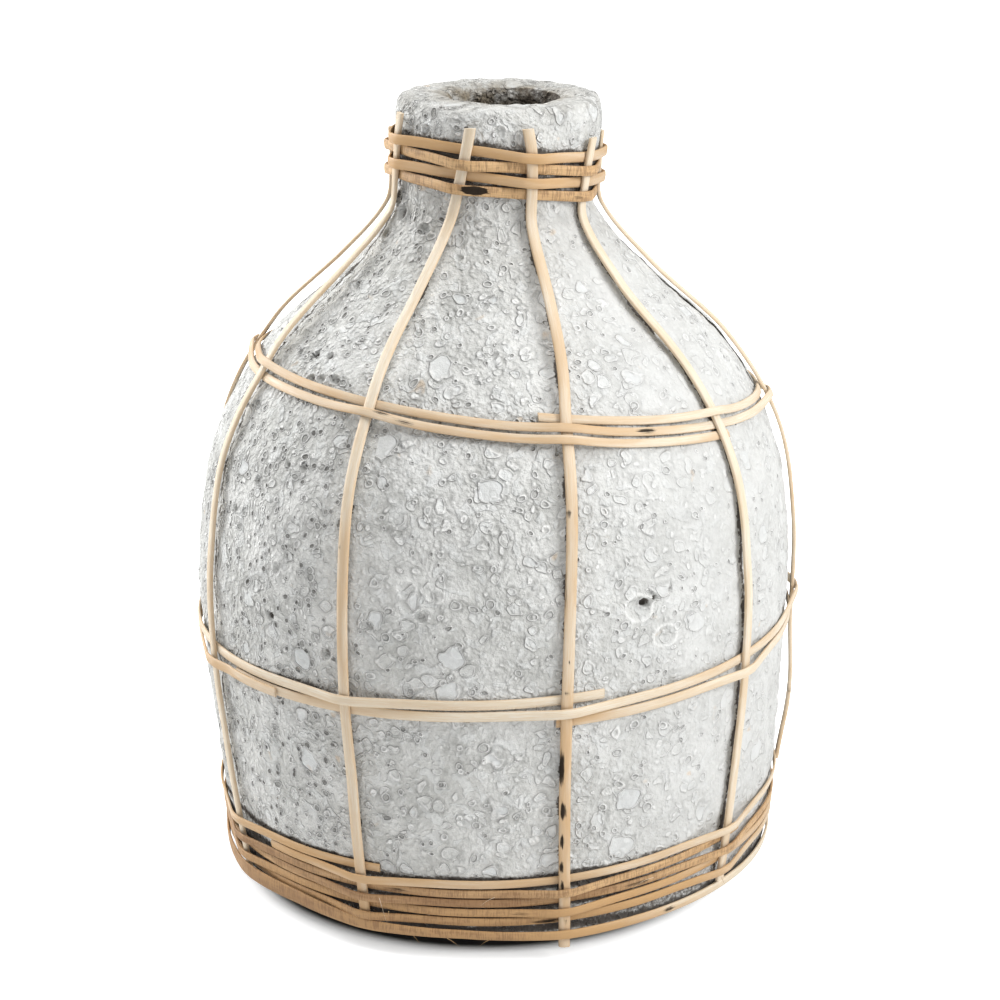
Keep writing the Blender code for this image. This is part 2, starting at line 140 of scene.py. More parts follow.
# %% Sections of the cane and its seats on the wall
RIB_WIDTH = 0.0053
RIB_THICKNESS = 0.0020
STRAND_THICKNESS = 0.0013
SEAT = 0.0009
CLEARANCE = 0.0003
CROSSING_MARGIN = 0.0011
RIB_SEAT = SEAT + STRAND_THICKNESS + CLEARANCE
OVER_SEAT = RIB_SEAT + RIB_THICKNESS + 2 * CLEARANCE
LAP_SEAT = SEAT + STRAND_THICKNESS + 2 * CLEARANCE
STRAND_WIDTHS = {"neck": 0.0049, "shoulder": 0.0041, "belt": 0.0047, "hem": 0.0046, "foot": 0.0042}

# %% The ribs
RIB_FIELDS = "foot belt shoulder root neck top foot_drop top_rise foot_bow belly_bow shoulder_bow"
Rib = namedtuple("Rib", RIB_FIELDS)
RIBS = {
    "rib_1": Rib(-61.7, -64.5, -68.5, -71.0, -70.0, -60.0, 0.0010, 0.0110, -0.0002, -0.0004, 0.0030),
    "rib_2": Rib(-26.8, -27.1, -28.7, -28.3, -20.0, -13.0, 0.0010, 0.0085, -0.0004, -0.0005, 0.0014),
    "rib_3": Rib(12.7, 12.9, 15.2, 18.9, 19.5, 13.0, 0.0074, 0.0080, -0.0004, -0.0006, 0.0012),
    "rib_4": Rib(49.8, 52.8, 53.5, 50.6, 56.2, 57.0, -0.0052, 0.0000, -0.0003, -0.0004, 0.0014),
    "rib_5": Rib(90.0, 90.0, 90.0, 91.0, 102.0, 116.0, -0.0306, -0.0045, 0.0026, 0.0004, 0.0000),
    "rib_6": Rib(130.0, 130.0, 130.0, 131.0, 133.0, 132.0, 0.0030, 0.0070, 0.0004, -0.0004, 0.0014),
    "rib_7": Rib(170.0, 170.0, 170.0, 171.5, 168.0, 166.0, 0.0035, 0.0060, -0.0003, -0.0002, 0.0012),
    "rib_8": Rib(212.0, 212.0, 212.0, 210.0, 213.0, 215.0, 0.0030, 0.0080, -0.0004, 0.0004, 0.0014),
    "rib_9": Rib(254.5, 254.5, 256.0, 258.0, 262.0, 262.0, 0.0010, -0.0015, 0.0003, -0.0004, 0.0016),
}

# %% The strands
STRAND_FIELDS = "band row start end over_first kept lapped_from over_all"
Strand = namedtuple("Strand", STRAND_FIELDS, defaults=((), math.inf, False))
STRANDS = {
    "neck_strand_1": Strand("neck", 0, 123.0, 497.0, True),
    "neck_strand_2": Strand("neck", 1, 163.0, 537.0, True),
    "neck_strand_3": Strand("neck", 2, 123.0, 497.0, True),
    "neck_strand_4": Strand("neck", 3, 163.0, 537.0, True),
    "shoulder_strand": Strand("shoulder", 0, 9.5, 776.5, False, kept=(18,)),
    "belt_strand_lower": Strand("belt", 0, 11.2, 317.0, False, lapped_from=303.0),
    "belt_strand_upper": Strand("belt", 0, 304.0, 740.0, False),
    "hem_strand": Strand("hem", 0, -135.0, 240.0, True, lapped_from=226.0, over_all=True),
    "foot_strand_lower": Strand("foot", 0, 262.5, 874.0, False, lapped_from=860.0),
    "foot_strand_middle": Strand("foot", 0, 861.0, 1496.0, True),
    "foot_strand_top": Strand("foot", 0, 1749.0, 2137.0, True),
}

# %% Heights and steps of the bands
NECK_BAND_HEIGHT = LIP_HEIGHT - 0.0072
SHOULDER_BAND_HEIGHT = SHOULDER_HEIGHT - 0.0145
BELT_BAND_HEIGHT = BELLY_HEIGHT - 0.0046
HEM_HEIGHT = FOOT_HEIGHT + 0.0010
NECK_STEP = STRAND_WIDTHS["neck"] + 0.0012
SHOULDER_STEP = STRAND_WIDTHS["shoulder"] + 0.00045
BELT_STEP = STRAND_WIDTHS["belt"] + 0.0009
FOOT_STEP = STRAND_WIDTHS["foot"] + 0.0004
NECK_ROWS = 4
FOOT_ROWS = STRANDS["foot_strand_top"].end / 360.0
FOOT_HEAD_START = 1.0 - STRANDS["foot_strand_lower"].start / 360.0
BAND_TILTS = {
    "neck": (0.0040, -0.0050),
    "shoulder": (0.0080, -0.0110),
    "belt": (-0.0024, 0.0053),
    "hem": (0.0, 0.0009),
    "foot": (0.0, 0.0009),
}
FOOT_FAN = 0.0010
FOOT_LOBE = 0.0042
FOOT_LOBE_AZIMUTH = 60.0
FOOT_LOBE_SHARPNESS = 10
HEM_SPRING = 3.0


# %% A rib's azimuth and bow
def rib_azimuth(rib, height):
    """Azimuth of a rib in radians."""
    knots = (HEM_HEIGHT, BELT_BAND_HEIGHT, SHOULDER_BAND_HEIGHT, NECK_ROOT_HEIGHT, NECK_HEIGHT, TOP_HEIGHT)
    azimuths = (rib.foot, rib.belt, rib.shoulder, rib.root, rib.neck, rib.top)
    return math.radians(smooth_value(height, knots, azimuths))


def rib_bow(rib, height):
    """How far a rib stands out from its seat between two bands."""
    marks = (
        HEM_HEIGHT + FOOT_ROWS * FOOT_STEP,
        BELT_BAND_HEIGHT,
        SHOULDER_BAND_HEIGHT,
        NECK_BAND_HEIGHT - NECK_ROWS * NECK_STEP,
    )
    for low, high, bow in zip(marks, marks[1:], (rib.foot_bow, rib.belly_bow, rib.shoulder_bow)):
        if low < height < high:
            return bow * math.sin(math.pi * (height - low) / (high - low)) ** 2
    return 0.0


# %% A strand's height
def strand_height(strand, azimuth):
    """Height of a strand's middle at an azimuth counted on through the turns, in radians."""
    turns = azimuth / (2 * math.pi)
    to_front, to_right = BAND_TILTS[strand.band]
    height = to_front * math.cos(azimuth) + to_right * math.sin(azimuth)
    if strand.band == "neck":
        return height + NECK_BAND_HEIGHT - strand.row * NECK_STEP
    if strand.band == "shoulder":
        return height + SHOULDER_BAND_HEIGHT - SHOULDER_STEP * turns
    if strand.band == "belt":
        return height + BELT_BAND_HEIGHT + BELT_STEP * turns
    if strand.band == "hem":
        return height + HEM_HEIGHT
    row = turns + FOOT_HEAD_START
    fan = FOOT_FAN * (row - 1) * (1 + math.sin(azimuth)) / 2
    lobe = (1 + math.cos(azimuth - math.radians(FOOT_LOBE_AZIMUTH))) / 2
    return height + HEM_HEIGHT + FOOT_STEP * row + fan + FOOT_LOBE * lobe ** FOOT_LOBE_SHARPNESS


# %% Where a strand meets the ribs
def crossings_of(strand):
    """Azimuth, half the crossing's width in radians, and whether the strand is over the rib."""
    start, end = math.radians(strand.start), math.radians(strand.end)
    found = []
    for rib in RIBS.values():
        belt = math.radians(rib.belt)
        turn = 2 * math.pi * math.floor((start - belt) / (2 * math.pi))
        while belt + turn < end:
            height = strand_height(strand, belt + turn)
            azimuth = rib_azimuth(rib, height) + turn
            half = (RIB_WIDTH / 2 + CROSSING_MARGIN) / wall_radius(height)
            reached = height + STRAND_WIDTHS[strand.band] / 2 + CLEARANCE > HEM_HEIGHT - rib.foot_drop
            if start < azimuth - half and azimuth + half < end:
                found.append((azimuth, half, reached))
            turn += 2 * math.pi
    found.sort()
    crossings = []
    over = strand.over_first
    for count, (azimuth, half, reached) in enumerate(found):
        if count and count not in strand.kept and not strand.over_all:
            over = not over
        crossings.append((azimuth, half, over and reached))
    return crossings


print("crossings:", sum(len(crossings_of(strand)) for strand in STRANDS.values()))


# %% How far a strand stands off the wall
def lift(radius, height, away, spring):
    """Offset of a strip over a step of some height, at an angle away from it: a spring of 1 is tight."""
    reach = spring * math.sqrt(2 * (height - SEAT) / radius)
    return SEAT + (height - SEAT) * max(0.0, 1 - max(away, 0.0) / reach) ** 2


def strand_offset(strand, azimuth, crossings):
    """How far a strand's inner face stands off the wall."""
    radius = wall_radius(strand_height(strand, azimuth))
    offset = SEAT
    spring = HEM_SPRING if strand.over_all else 1.0
    for at, half, over in crossings:
        if over:
            offset = max(offset, lift(radius, OVER_SEAT, abs(azimuth - at) - half, spring))
    if strand.lapped_from < strand.end:
        offset = max(offset, lift(radius, LAP_SEAT, math.radians(strand.lapped_from) - azimuth, 1.0))
    return offset


# %% [markdown]
# ## Node trees in few words
#
# Both materials are procedural: their patterns are worked out from places on the vase, so no picture file
# is needed. Writing out every node is long, so a few helpers make one node each and join it to its
# inputs. An input may be a plain value or the output of another node.

# %% Helpers that make one node each
def join(tree, value, socket):
    """A plain value is set on the socket, and another node's output is linked to it."""
    if isinstance(value, bpy.types.NodeSocket):
        tree.links.new(value, socket)
    else:
        socket.default_value = value


def add_node(tree, kind, inputs, **settings):
    node = tree.nodes.new(kind)
    for name, value in settings.items():
        setattr(node, name, value)
    for name, value in inputs.items():
        join(tree, value, node.inputs[name])
    return node


def calculate(tree, operation, *values):
    node = tree.nodes.new("ShaderNodeMath")
    node.operation = operation
    for socket, value in zip(node.inputs, values):
        join(tree, value, socket)
    return node.outputs["Value"]


def times(tree, first, second):
    return calculate(tree, "MULTIPLY", first, second)


def linear(tree, value, slope, base):
    """The value times a slope, plus a base."""
    return calculate(tree, "MULTIPLY_ADD", value, slope, base)


def blend(tree, factor, first, second, how="MIX"):
    """A colour between two colours."""
    node = tree.nodes.new("ShaderNodeMix")
    node.data_type = "RGBA"
    node.blend_type = how
    join(tree, factor, node.inputs[0])
    join(tree, first, node.inputs[6])
    join(tree, second, node.inputs[7])
    return node.outputs[2]


def step(tree, value, low, high, bottom=0.0, top=1.0):
    """A soft step: bottom below low, top above high."""
    inputs = {"Value": value, "From Min": low, "From Max": high, "To Min": bottom, "To Max": top}
    node = add_node(tree, "ShaderNodeMapRange", inputs, interpolation_type="SMOOTHSTEP")
    return node.outputs["Result"]


def cloud(tree, vector, scale, detail=2.0, roughness=0.5):
    """A noise between 0 and 1 whose features are about 1/scale metres long."""
    inputs = {"Vector": vector, "Scale": scale, "Detail": detail, "Roughness": roughness}
    return add_node(tree, "ShaderNodeTexNoise", inputs).outputs


def combine(tree, operation, *vectors):
    node = add_node(tree, "ShaderNodeVectorMath", dict(enumerate(vectors)), operation=operation)
    return node.outputs["Vector"]


def attribute(tree, name):
    return add_node(tree, "ShaderNodeAttribute", {}, attribute_name=name).outputs["Fac"]


# %% A node group with named inputs and outputs
def new_group(name, vector, numbers, outputs):
    """An empty group that takes a vector and numbers and gives numbers, with its inputs and its outputs."""
    tree = bpy.data.node_groups.new(name, "ShaderNodeTree")
    tree.interface.new_socket(vector, in_out="INPUT", socket_type="NodeSocketVector")
    for socket in numbers:
        tree.interface.new_socket(socket, in_out="INPUT", socket_type="NodeSocketFloat")
    for socket in outputs:
        tree.interface.new_socket(socket, in_out="OUTPUT", socket_type="NodeSocketFloat")
    return tree, tree.nodes.new("NodeGroupInput").outputs, tree.nodes.new("NodeGroupOutput").inputs


def use_group(tree, group, inputs):
    node = tree.nodes.new("ShaderNodeGroup")
    node.node_tree = group
    for name, value in inputs.items():
        join(tree, value, node.inputs[name])
    return node.outputs


def add_bump(tree, shader, height):
    """Height in metres, turned into the shader's normal."""
    bump = add_node(tree, "ShaderNodeBump", {"Height": height, "Strength": 1.0, "Distance": 1.0})
    join(tree, bump.outputs["Normal"], shader.inputs["Normal"])


def new_material(name, roughness, specular):
    """A material with a plain shader, whose same-all-over numbers are set on the shader itself."""
    material = bpy.data.materials.new(name)
    material.use_nodes = True
    shader = material.node_tree.nodes["Principled BSDF"]
    shader.inputs["Roughness"].default_value = roughness
    shader.inputs["Specular IOR Level"].default_value = specular
    return material, material.node_tree, shader


# %% [markdown]
# ## Islands in the clay
#
# The real surface is full of round and bean-shaped marks: smooth pale plates, rings like burst bubbles
# and small deep pits. All are islands with a pale rim and a dip round it, at different sizes. A Voronoi
# texture scatters one point in each cell of space. The distance to that point, cut off at a radius picked
# for each cell, draws a round island, and warping the position first makes it bean-shaped.

# %% The island group
ISLAND_INPUTS = ("Scale", "Least", "Most", "Share", "Line")
ISLAND_OUTPUTS = ("Inside", "Rim", "Raised", "Halo", "Pick")
HALO_REACH = 3.4
INSIDE_REACH = 1.3
islands, given, made = new_group("clay_islands", "Vector", ISLAND_INPUTS, ISLAND_OUTPUTS)
cells = add_node(
    islands, "ShaderNodeTexVoronoi", {"Vector": given["Vector"], "Scale": given["Scale"]}, feature="F1"
)
picks = add_node(islands, "ShaderNodeSeparateColor", {"Color": cells.outputs["Color"]}).outputs
here = calculate(islands, "LESS_THAN", picks["Red"], given["Share"])
spread = calculate(islands, "SUBTRACT", given["Most"], given["Least"])
radius_of_cell = linear(islands, picks["Green"], spread, given["Least"])
past_edge = calculate(islands, "SUBTRACT", cells.outputs["Distance"], radius_of_cell)
line = given["Line"]
inner = step(islands, past_edge, times(islands, line, -INSIDE_REACH), 0.0, 1.0, 0.0)
rim = step(islands, calculate(islands, "ABSOLUTE", past_edge), 0.0, line, 1.0, 0.0)
raised = step(islands, past_edge, 0.0, line, 1.0, 0.0)
halo_end = times(islands, line, HALO_REACH)
halo = calculate(islands, "SUBTRACT", step(islands, past_edge, line, halo_end, 1.0, 0.0), raised)
for output, mask in {"Inside": inner, "Rim": rim, "Raised": raised, "Halo": halo}.items():
    join(islands, times(islands, mask, here), made[output])
join(islands, picks["Blue"], made["Pick"])
print("group", islands.name, "has", len(islands.nodes), "nodes")

# %% [markdown]
# ## The clay
#
# The clay is a chalky grey with bluish plates, fine sand, brown dust and painted shade in its hollows and a
# few ochre stains. It could be photographed, but a pattern made of layers works at any distance and from
# all sides. Each layer adds its colour and its height. The heights are summed in metres for one Bump node,
# and attributes of the wall itself say where it has dust and painted shade, and where it is earthy, more
# pitted or calmer.

# %% Warped places for the clay
clay, tree, shader = new_material("clay", roughness=0.92, specular=0.22)
place = add_node(tree, "ShaderNodeTexCoord", {}).outputs["Object"]


def warp(vector, scale, detail, reach):
    """The vector pushed to and fro by a noise, by up to half the reach."""
    swing = combine(tree, "SUBTRACT", cloud(tree, place, scale, detail)["Color"], (0.5, 0.5, 0.5))
    return combine(tree, "MULTIPLY_ADD", swing, (reach, reach, reach), vector)


bent = warp(place, 55.0, 2.0, 0.0085)
warped = warp(bent, 150.0, 0.6, 0.0056)
dusty_and_shaded = attribute(tree, "dust_and_shade")
earthy = attribute(tree, "earth")
pitted = attribute(tree, "pitting")
rimmed = attribute(tree, "rim")
lively = attribute(tree, "lively")
seamed = attribute(tree, "seam")

# %% The layers of islands
def island_layer(vector, scale, least, most, line, shift, share, more):
    """A layer of islands in a share of the cells, and in more of them where the clay is pitted."""
    inputs = {"Scale": scale, "Least": least, "Most": most, "Line": line}
    inputs["Vector"] = combine(tree, "ADD", vector, (shift, most, 0.0))
    inputs["Share"] = linear(tree, pitted, more, share)
    return use_group(tree, islands, inputs)


plates = island_layer(warped, 62.0, least=0.12, most=0.40, line=0.044, shift=0.72, share=0.62, more=-0.40)
flakes = island_layer(warped, 118.0, least=0.14, most=0.40, line=0.082, shift=0.86, share=0.90, more=-0.50)
rings = island_layer(bent, 150.0, least=0.13, most=0.33, line=0.105, shift=0.50, share=0.26, more=0.58)
pits = island_layer(bent, 240.0, least=0.19, most=0.36, line=0.125, shift=0.34, share=0.06, more=0.50)
bare = linear(tree, plates["Inside"], -0.85, 1.0)

# %% Beads, wrinkles and sand between the islands
bead_inputs = {"Vector": bent, "Scale": 400.0, "Smoothness": 0.35}
bead_cells = add_node(tree, "ShaderNodeTexVoronoi", bead_inputs, feature="SMOOTH_F1")
bead_noise = cloud(tree, combine(tree, "ADD", place, (0.2, 0.6, 0.9)), 60.0, 2.0)["Fac"]
bead_zone = step(tree, bead_noise, 0.34, 0.58, 0.35, 1.0)
bead_gaps = step(tree, bead_cells.outputs["Distance"], 0.22, 0.62)
bead_gaps = times(tree, bead_gaps, bead_zone)
wrinkle_noise = cloud(tree, warped, 105.0, 1.5)["Fac"]
wrinkle_level = calculate(tree, "ABSOLUTE", calculate(tree, "SUBTRACT", wrinkle_noise, 0.5))
wrinkles = step(tree, wrinkle_level, 0.0, 0.030, 1.0, 0.0)
blob_noise = cloud(tree, combine(tree, "ADD", warped, (0.3, 0.1, 0.2)), 150.0, 1.0)["Fac"]
blobs = step(tree, blob_noise, 0.560, 0.61)
sand = cloud(tree, place, 1500.0, 3.0, 0.6)["Fac"]
crumbs = cloud(tree, place, 380.0, 3.0, 0.55)["Fac"]
mottle = cloud(tree, place, 26.0, 4.0, 0.6)["Fac"]

# %% Colours of the clay
GROUND_DARK = (0.600, 0.602, 0.578, 1.0)
GROUND_PALE = (0.770, 0.773, 0.754, 1.0)
GROUND_CALM_SHADED = (0.555, 0.558, 0.548, 1.0)
PLATE_PALE = (0.765, 0.782, 0.778, 1.0)
PLATE_BLUE = (0.69, 0.722, 0.735, 1.0)
LINE_DARK = (0.27, 0.27, 0.255, 1.0)
RIM_PALE = (0.93, 0.93, 0.91, 1.0)
PIT_DARK = (0.10, 0.095, 0.085, 1.0)
DUST_AND_SHADE_BROWN = (0.058, 0.046, 0.036, 1.0)
EARTH = (0.46, 0.39, 0.30, 1.0)
OCHRE = (0.62, 0.47, 0.32, 1.0)


# %% Ground, plates, flakes, rings and pits
colour = blend(tree, step(tree, mottle, 0.34, 0.66), GROUND_DARK, GROUND_PALE)
colour = blend(tree, step(tree, crumbs, 0.40, 0.70, 0.0, 0.30), colour, RIM_PALE)
colour = blend(tree, step(tree, sand, 0.38, 0.66, 0.16, 0.0), colour, LINE_DARK)
# The dark halos round flakes, plates and rings, the dark gaps between beads and the dark floors of rings
# and pits are painted shade in the dips and hollows. The dark sand and wrinkles are the clay's own marks.
LAYER_PAINTS = (
    (bead_gaps, 0.24, LINE_DARK),
    (wrinkles, 0.06, LINE_DARK),
    (blobs, 0.35, PLATE_PALE),
    (flakes["Halo"], 0.26, LINE_DARK),
    (flakes["Inside"], 0.50, blend(tree, flakes["Pick"], PLATE_PALE, GROUND_DARK)),
    (flakes["Rim"], 0.46, RIM_PALE),
    (plates["Halo"], 0.28, LINE_DARK),
    (plates["Inside"], 0.46, blend(tree, plates["Pick"], PLATE_PALE, PLATE_BLUE)),
    (plates["Rim"], 0.34, RIM_PALE),
    (rings["Halo"], 0.26, LINE_DARK),
    (times(tree, rings["Inside"], bare), linear(tree, pitted, 0.48, 0.26), LINE_DARK),
    (times(tree, rings["Rim"], bare), 0.75, RIM_PALE),
    (times(tree, pits["Inside"], bare), linear(tree, pitted, 0.38, 0.42), PIT_DARK),
    (times(tree, pits["Rim"], bare), 0.78, RIM_PALE),
)
for mask, share, paint in LAYER_PAINTS:
    colour = blend(tree, times(tree, mask, share), colour, paint)

# %% Calm places with painted shade, rims, stains, earth, and dust with painted shade
# On the right, where the key lamp falls full, the clay is painted a plainer, darker grey: partly the calmer
# clay there, partly painted shade.
colour = blend(tree, lively, GROUND_CALM_SHADED, colour)
colour = blend(tree, times(tree, rimmed, 0.42), colour, RIM_PALE)
stain_noise = cloud(tree, combine(tree, "ADD", place, (0.7, 0.2, 0.4)), 85.0, 2.0)["Fac"]
colour = blend(tree, step(tree, stain_noise, 0.70, 0.78, 0.0, 0.55), colour, OCHRE)
earth_noise = cloud(tree, combine(tree, "ADD", place, (0.1, 0.9, 0.5)), 120.0, 4.0, 0.6)["Fac"]
earth_share = times(tree, earthy, step(tree, earth_noise, 0.25, 0.62))
colour = blend(tree, earth_share, colour, EARTH, "MULTIPLY")
speck_noise = cloud(tree, combine(tree, "ADD", place, (0.5, 0.5, 0.1)), 520.0, 3.0, 0.65)["Fac"]
# Dust and painted shade darken the clay in the crater floors, near the bands, under the foot, in the mouth
# and in a thin line beside the ribs.
dust_and_shade_level = calculate(tree, "ADD", dusty_and_shaded, times(tree, speck_noise, 0.9))
colour = blend(tree, step(tree, dust_and_shade_level, 0.80, 1.22, 0.0, 0.90), colour, DUST_AND_SHADE_BROWN)
seam_level = linear(tree, speck_noise, 0.44, seamed)
colour = blend(tree, step(tree, seam_level, 0.710, 0.765, 0.0, 0.90), colour, DUST_AND_SHADE_BROWN)
join(tree, colour, shader.inputs["Base Color"])

# %% Heights of the clay, in metres
FINE_HEIGHTS = (
    (flakes["Raised"], 0.00020),
    (flakes["Inside"], -0.00010),
    (flakes["Rim"], 0.00046),
    (flakes["Halo"], -0.00030),
    (rings["Inside"], -0.00110),
    (rings["Rim"], 0.00070),
    (rings["Halo"], -0.00028),
    (pits["Inside"], -0.00130),
    (pits["Rim"], 0.00070),
    (blobs, 0.00042),
    (bead_gaps, -0.00050),
    (wrinkles, 0.00010),
    (crumbs, 0.00170),
)
PLATE_HEIGHTS = (
    (plates["Raised"], 0.00040),
    (plates["Rim"], 0.00024),
    (plates["Halo"], -0.00036),
    (sand, 0.00034),
)
height = 0.0
for source, metres in FINE_HEIGHTS:
    height = linear(tree, source, metres, height)
height = times(tree, height, bare)
for source, metres in PLATE_HEIGHTS:
    height = linear(tree, source, metres, height)
height = times(tree, height, lively)
add_bump(tree, shader, height)
print("clay uses", len(tree.nodes), "nodes")

# %% [markdown]
# ## The grain of cane
#
# Split cane has long fibres, soft blotches along its length and, where it was bent dry, fine cracks
# across. The pattern follows the strip, so it reads a UV map: U runs along the strip in metres and V
# across it from 0 to 1. Stretching a noise along U makes fibres, and squeezing it makes cracks. Both cane
# materials share this group.

# %% The grain group
grain, given, made = new_group("cane_grain", "Strip", (), ("Fibre", "Blotch", "Cracks", "Edge"))


def strip_noise(along, across, detail, roughness):
    """A noise on the strip, with this many features per metre along it and over its width."""
    stretched = combine(grain, "MULTIPLY", given["Strip"], (along, across, 1.0))
    return cloud(grain, stretched, 1.0, detail, roughness)["Fac"]


coarse_fibre = strip_noise(45.0, 9.0, 3.0, 0.6)
fine_fibre = strip_noise(160.0, 34.0, 2.0, 0.6)
fibre = linear(grain, fine_fibre, 0.5, times(grain, coarse_fibre, 0.5))
blotch = strip_noise(22.0, 0.8, 2.0, 0.5)
crack_noise = strip_noise(1500.0, 0.8, 2.0, 0.6)
crack_places = strip_noise(90.0, 2.2, 2.0, 0.5)
crack_level = linear(grain, crack_places, 0.55, crack_noise)
parts = add_node(grain, "ShaderNodeSeparateXYZ", {"Vector": given["Strip"]}).outputs
off_middle = calculate(grain, "ABSOLUTE", calculate(grain, "SUBTRACT", parts["Y"], 0.5))
join(grain, step(grain, fibre, 0.36, 0.64), made["Fibre"])
join(grain, step(grain, blotch, 0.34, 0.68), made["Blotch"])
join(grain, step(grain, crack_level, 0.72, 0.92), made["Cracks"])
join(grain, step(grain, off_middle, 0.40, 0.50), made["Edge"])
print("group", grain.name, "has", len(grain.nodes), "nodes")


# %% [markdown]
# ## Two finishes of cane
#
# Most of the cane is pale straw. Three strands are brown, two at the neck and one at the foot, with the
# bark's tan left on them. Both follow one recipe: a pale and a deep colour mixed by the fibres and
# blotches, a tan set by each piece's tone attribute, cracks, and dark bark streaks and knots where its
# bark attribute asks for them. Cane has a soft satin gloss, much smoother than the clay.

# %% The cane recipe
CANE_BARK = (0.006, 0.004, 0.003, 1.0)


def cane_material(name, pale, deep, tan, crack, cracked):
    material, tree, shader = new_material(name, roughness=0.50, specular=0.28)
    strip = add_node(tree, "ShaderNodeUVMap", {}, uv_map="strip").outputs["UV"]
    grains = use_group(tree, grain, {"Strip": strip})
    tone, bark = attribute(tree, "tone"), attribute(tree, "bark")
    colour = blend(tree, grains["Fibre"], deep, pale)
    colour = blend(tree, times(tree, grains["Blotch"], 0.45), colour, deep)
    tan_level = linear(tree, grains["Blotch"], 0.25, tone)
    colour = blend(tree, step(tree, tan_level, 0.10, 1.10), colour, tan)
    colour = blend(tree, step(tree, tan_level, 1.10, 2.40), colour, crack)
    colour = blend(tree, times(tree, grains["Edge"], 0.30), colour, tan)
    tanned = calculate(tree, "MAXIMUM", calculate(tree, "SUBTRACT", tone, 1.15), 0.0)
    crack_level = linear(tree, tanned, 1.90, cracked)
    crack_share = times(tree, grains["Cracks"], crack_level)
    colour = blend(tree, crack_share, colour, crack)
    streak = linear(tree, grains["Fibre"], -0.50, bark)
    bark_share = step(tree, streak, 0.10, 0.60, 0.0, 0.97)
    colour = blend(tree, bark_share, colour, CANE_BARK)
    join(tree, colour, shader.inputs["Base Color"])
    height = times(tree, grains["Fibre"], 0.00005)
    height = linear(tree, crack_share, -0.00007, height)
    add_bump(tree, shader, height)
    rough = step(tree, grains["Fibre"], 0.0, 1.0, 0.58, 0.44)
    join(tree, calculate(tree, "MAXIMUM", rough, bark_share), shader.inputs["Roughness"])
    return material


cane_light = cane_material(
    "cane_light", (0.765, 0.71, 0.610, 1.0), (0.70, 0.57, 0.40, 1.0), (0.53, 0.325, 0.150, 1.0),
    (0.28, 0.155, 0.075, 1.0), 0.0,
)
cane_brown = cane_material(
    "cane_brown", (0.71, 0.48, 0.255, 1.0), (0.54, 0.34, 0.165, 1.0), (0.32, 0.18, 0.085, 1.0),
    (0.20, 0.105, 0.05, 1.0), 0.55,
)
print("cane materials:", cane_light.name, cane_brown.name)

# %% [markdown]
# ## The clay vessel
#
# The vessel was built up by hand, so its wall isn't a clean turned surface. A turned shape is still the
# right start: the outline is spun once round the axis, the mesh is cut finer around the large craters,
# and then each vertex moves along its own normal by a relief of broad waves, lumps and craters.

# %% The vessel's outline outside
FOOT_FACE_RADIUS = 0.1120
FOOT_FACE_RINGS = (0.0, 0.060, 0.100, FOOT_FACE_RADIUS)
FOOT_BEVEL = (0.0205, 0.0110)
FOOT_BEVEL_STEPS = 6
FOOT_EDGE_INSET = 0.0030
LIP_CORNER_DROP = 0.0100
LIP_CORNER_INSET = 0.0052
MOUTH_RADIUS = 0.0240
MOUTH_ROUNDING = 0.0060
OUTER_ROWS = 158
CORNER_STEPS = 7
VESSEL_STEPS = 372


def quarter_round(centre, across, up, steps):
    """Points of a quarter ellipse about a centre, from its side at across to its top at up."""
    turns = [math.pi / 2 * i / steps for i in range(steps + 1)]
    return [(centre[0] + across * math.cos(a), centre[1] + up * math.sin(a)) for a in turns]


def even_heights(low, high, rows, fine=2000):
    """Heights that cut the wall into rows of even length."""
    samples = [low + (high - low) * i / fine for i in range(fine + 1)]
    lengths = [0.0]
    for under, over in zip(samples, samples[1:]):
        lengths.append(lengths[-1] + math.hypot(over - under, wall_radius(over) - wall_radius(under)))
    targets = [lengths[-1] * i / rows for i in range(rows + 1)]
    return [float(value) for value in np.interp(targets, lengths, samples)]


foot_round = quarter_round(
    (STATION_RADII[0] - FOOT_EDGE_INSET, FOOT_HEIGHT), FOOT_EDGE_INSET, -FOOT_EDGE_INSET, 3
)[::-1]
foot_bottom = [(radius, 0.0) for radius in FOOT_FACE_RINGS]
foot_bevel = [
    (FOOT_FACE_RADIUS + FOOT_BEVEL[0] * i / FOOT_BEVEL_STEPS, FOOT_BEVEL[1] * i / FOOT_BEVEL_STEPS)
    for i in range(1, FOOT_BEVEL_STEPS)
]
wall_rows = [(wall_radius(z), z) for z in even_heights(FOOT_HEIGHT, LIP_HEIGHT, OUTER_ROWS)[1:]]
outer_outline = foot_bottom + foot_bevel + foot_round + wall_rows
print("outer outline:", len(outer_outline), "points")

# %% The lip and the hollow
lip_outside = quarter_round(
    (STATION_RADII[-1] - LIP_CORNER_INSET, TOP_HEIGHT - LIP_CORNER_DROP),
    LIP_CORNER_INSET, LIP_CORNER_DROP, CORNER_STEPS,
)
lip_inside = quarter_round(
    (MOUTH_RADIUS + MOUTH_ROUNDING, TOP_HEIGHT - MOUTH_ROUNDING),
    -MOUTH_ROUNDING, MOUTH_ROUNDING, CORNER_STEPS,
)[::-1]
LIP_STEPS = 6
lip_span = lip_inside[0][0] - lip_outside[-1][0]
lip_flat = [(lip_outside[-1][0] + lip_span * i / LIP_STEPS, TOP_HEIGHT) for i in range(1, LIP_STEPS)]
HOLLOW_KNOTS = (0.0270, 0.0720, 0.1300, 0.1750, 0.2250, 0.2680, 0.3015, 0.3305, 0.3510, 0.3800)
HOLLOW_RADII = (0.1230, 0.1296, 0.1334, 0.1322, 0.1215, 0.0935, 0.0570, 0.0350, 0.0290, 0.0240)
HOLLOW_FINE_ROW = 0.0022
HOLLOW_ROW = 0.0125
HOLLOW_LOWEST = 0.0280
HOLLOW_CORNER = 0.0120
HOLLOW_FLOOR = 0.0150
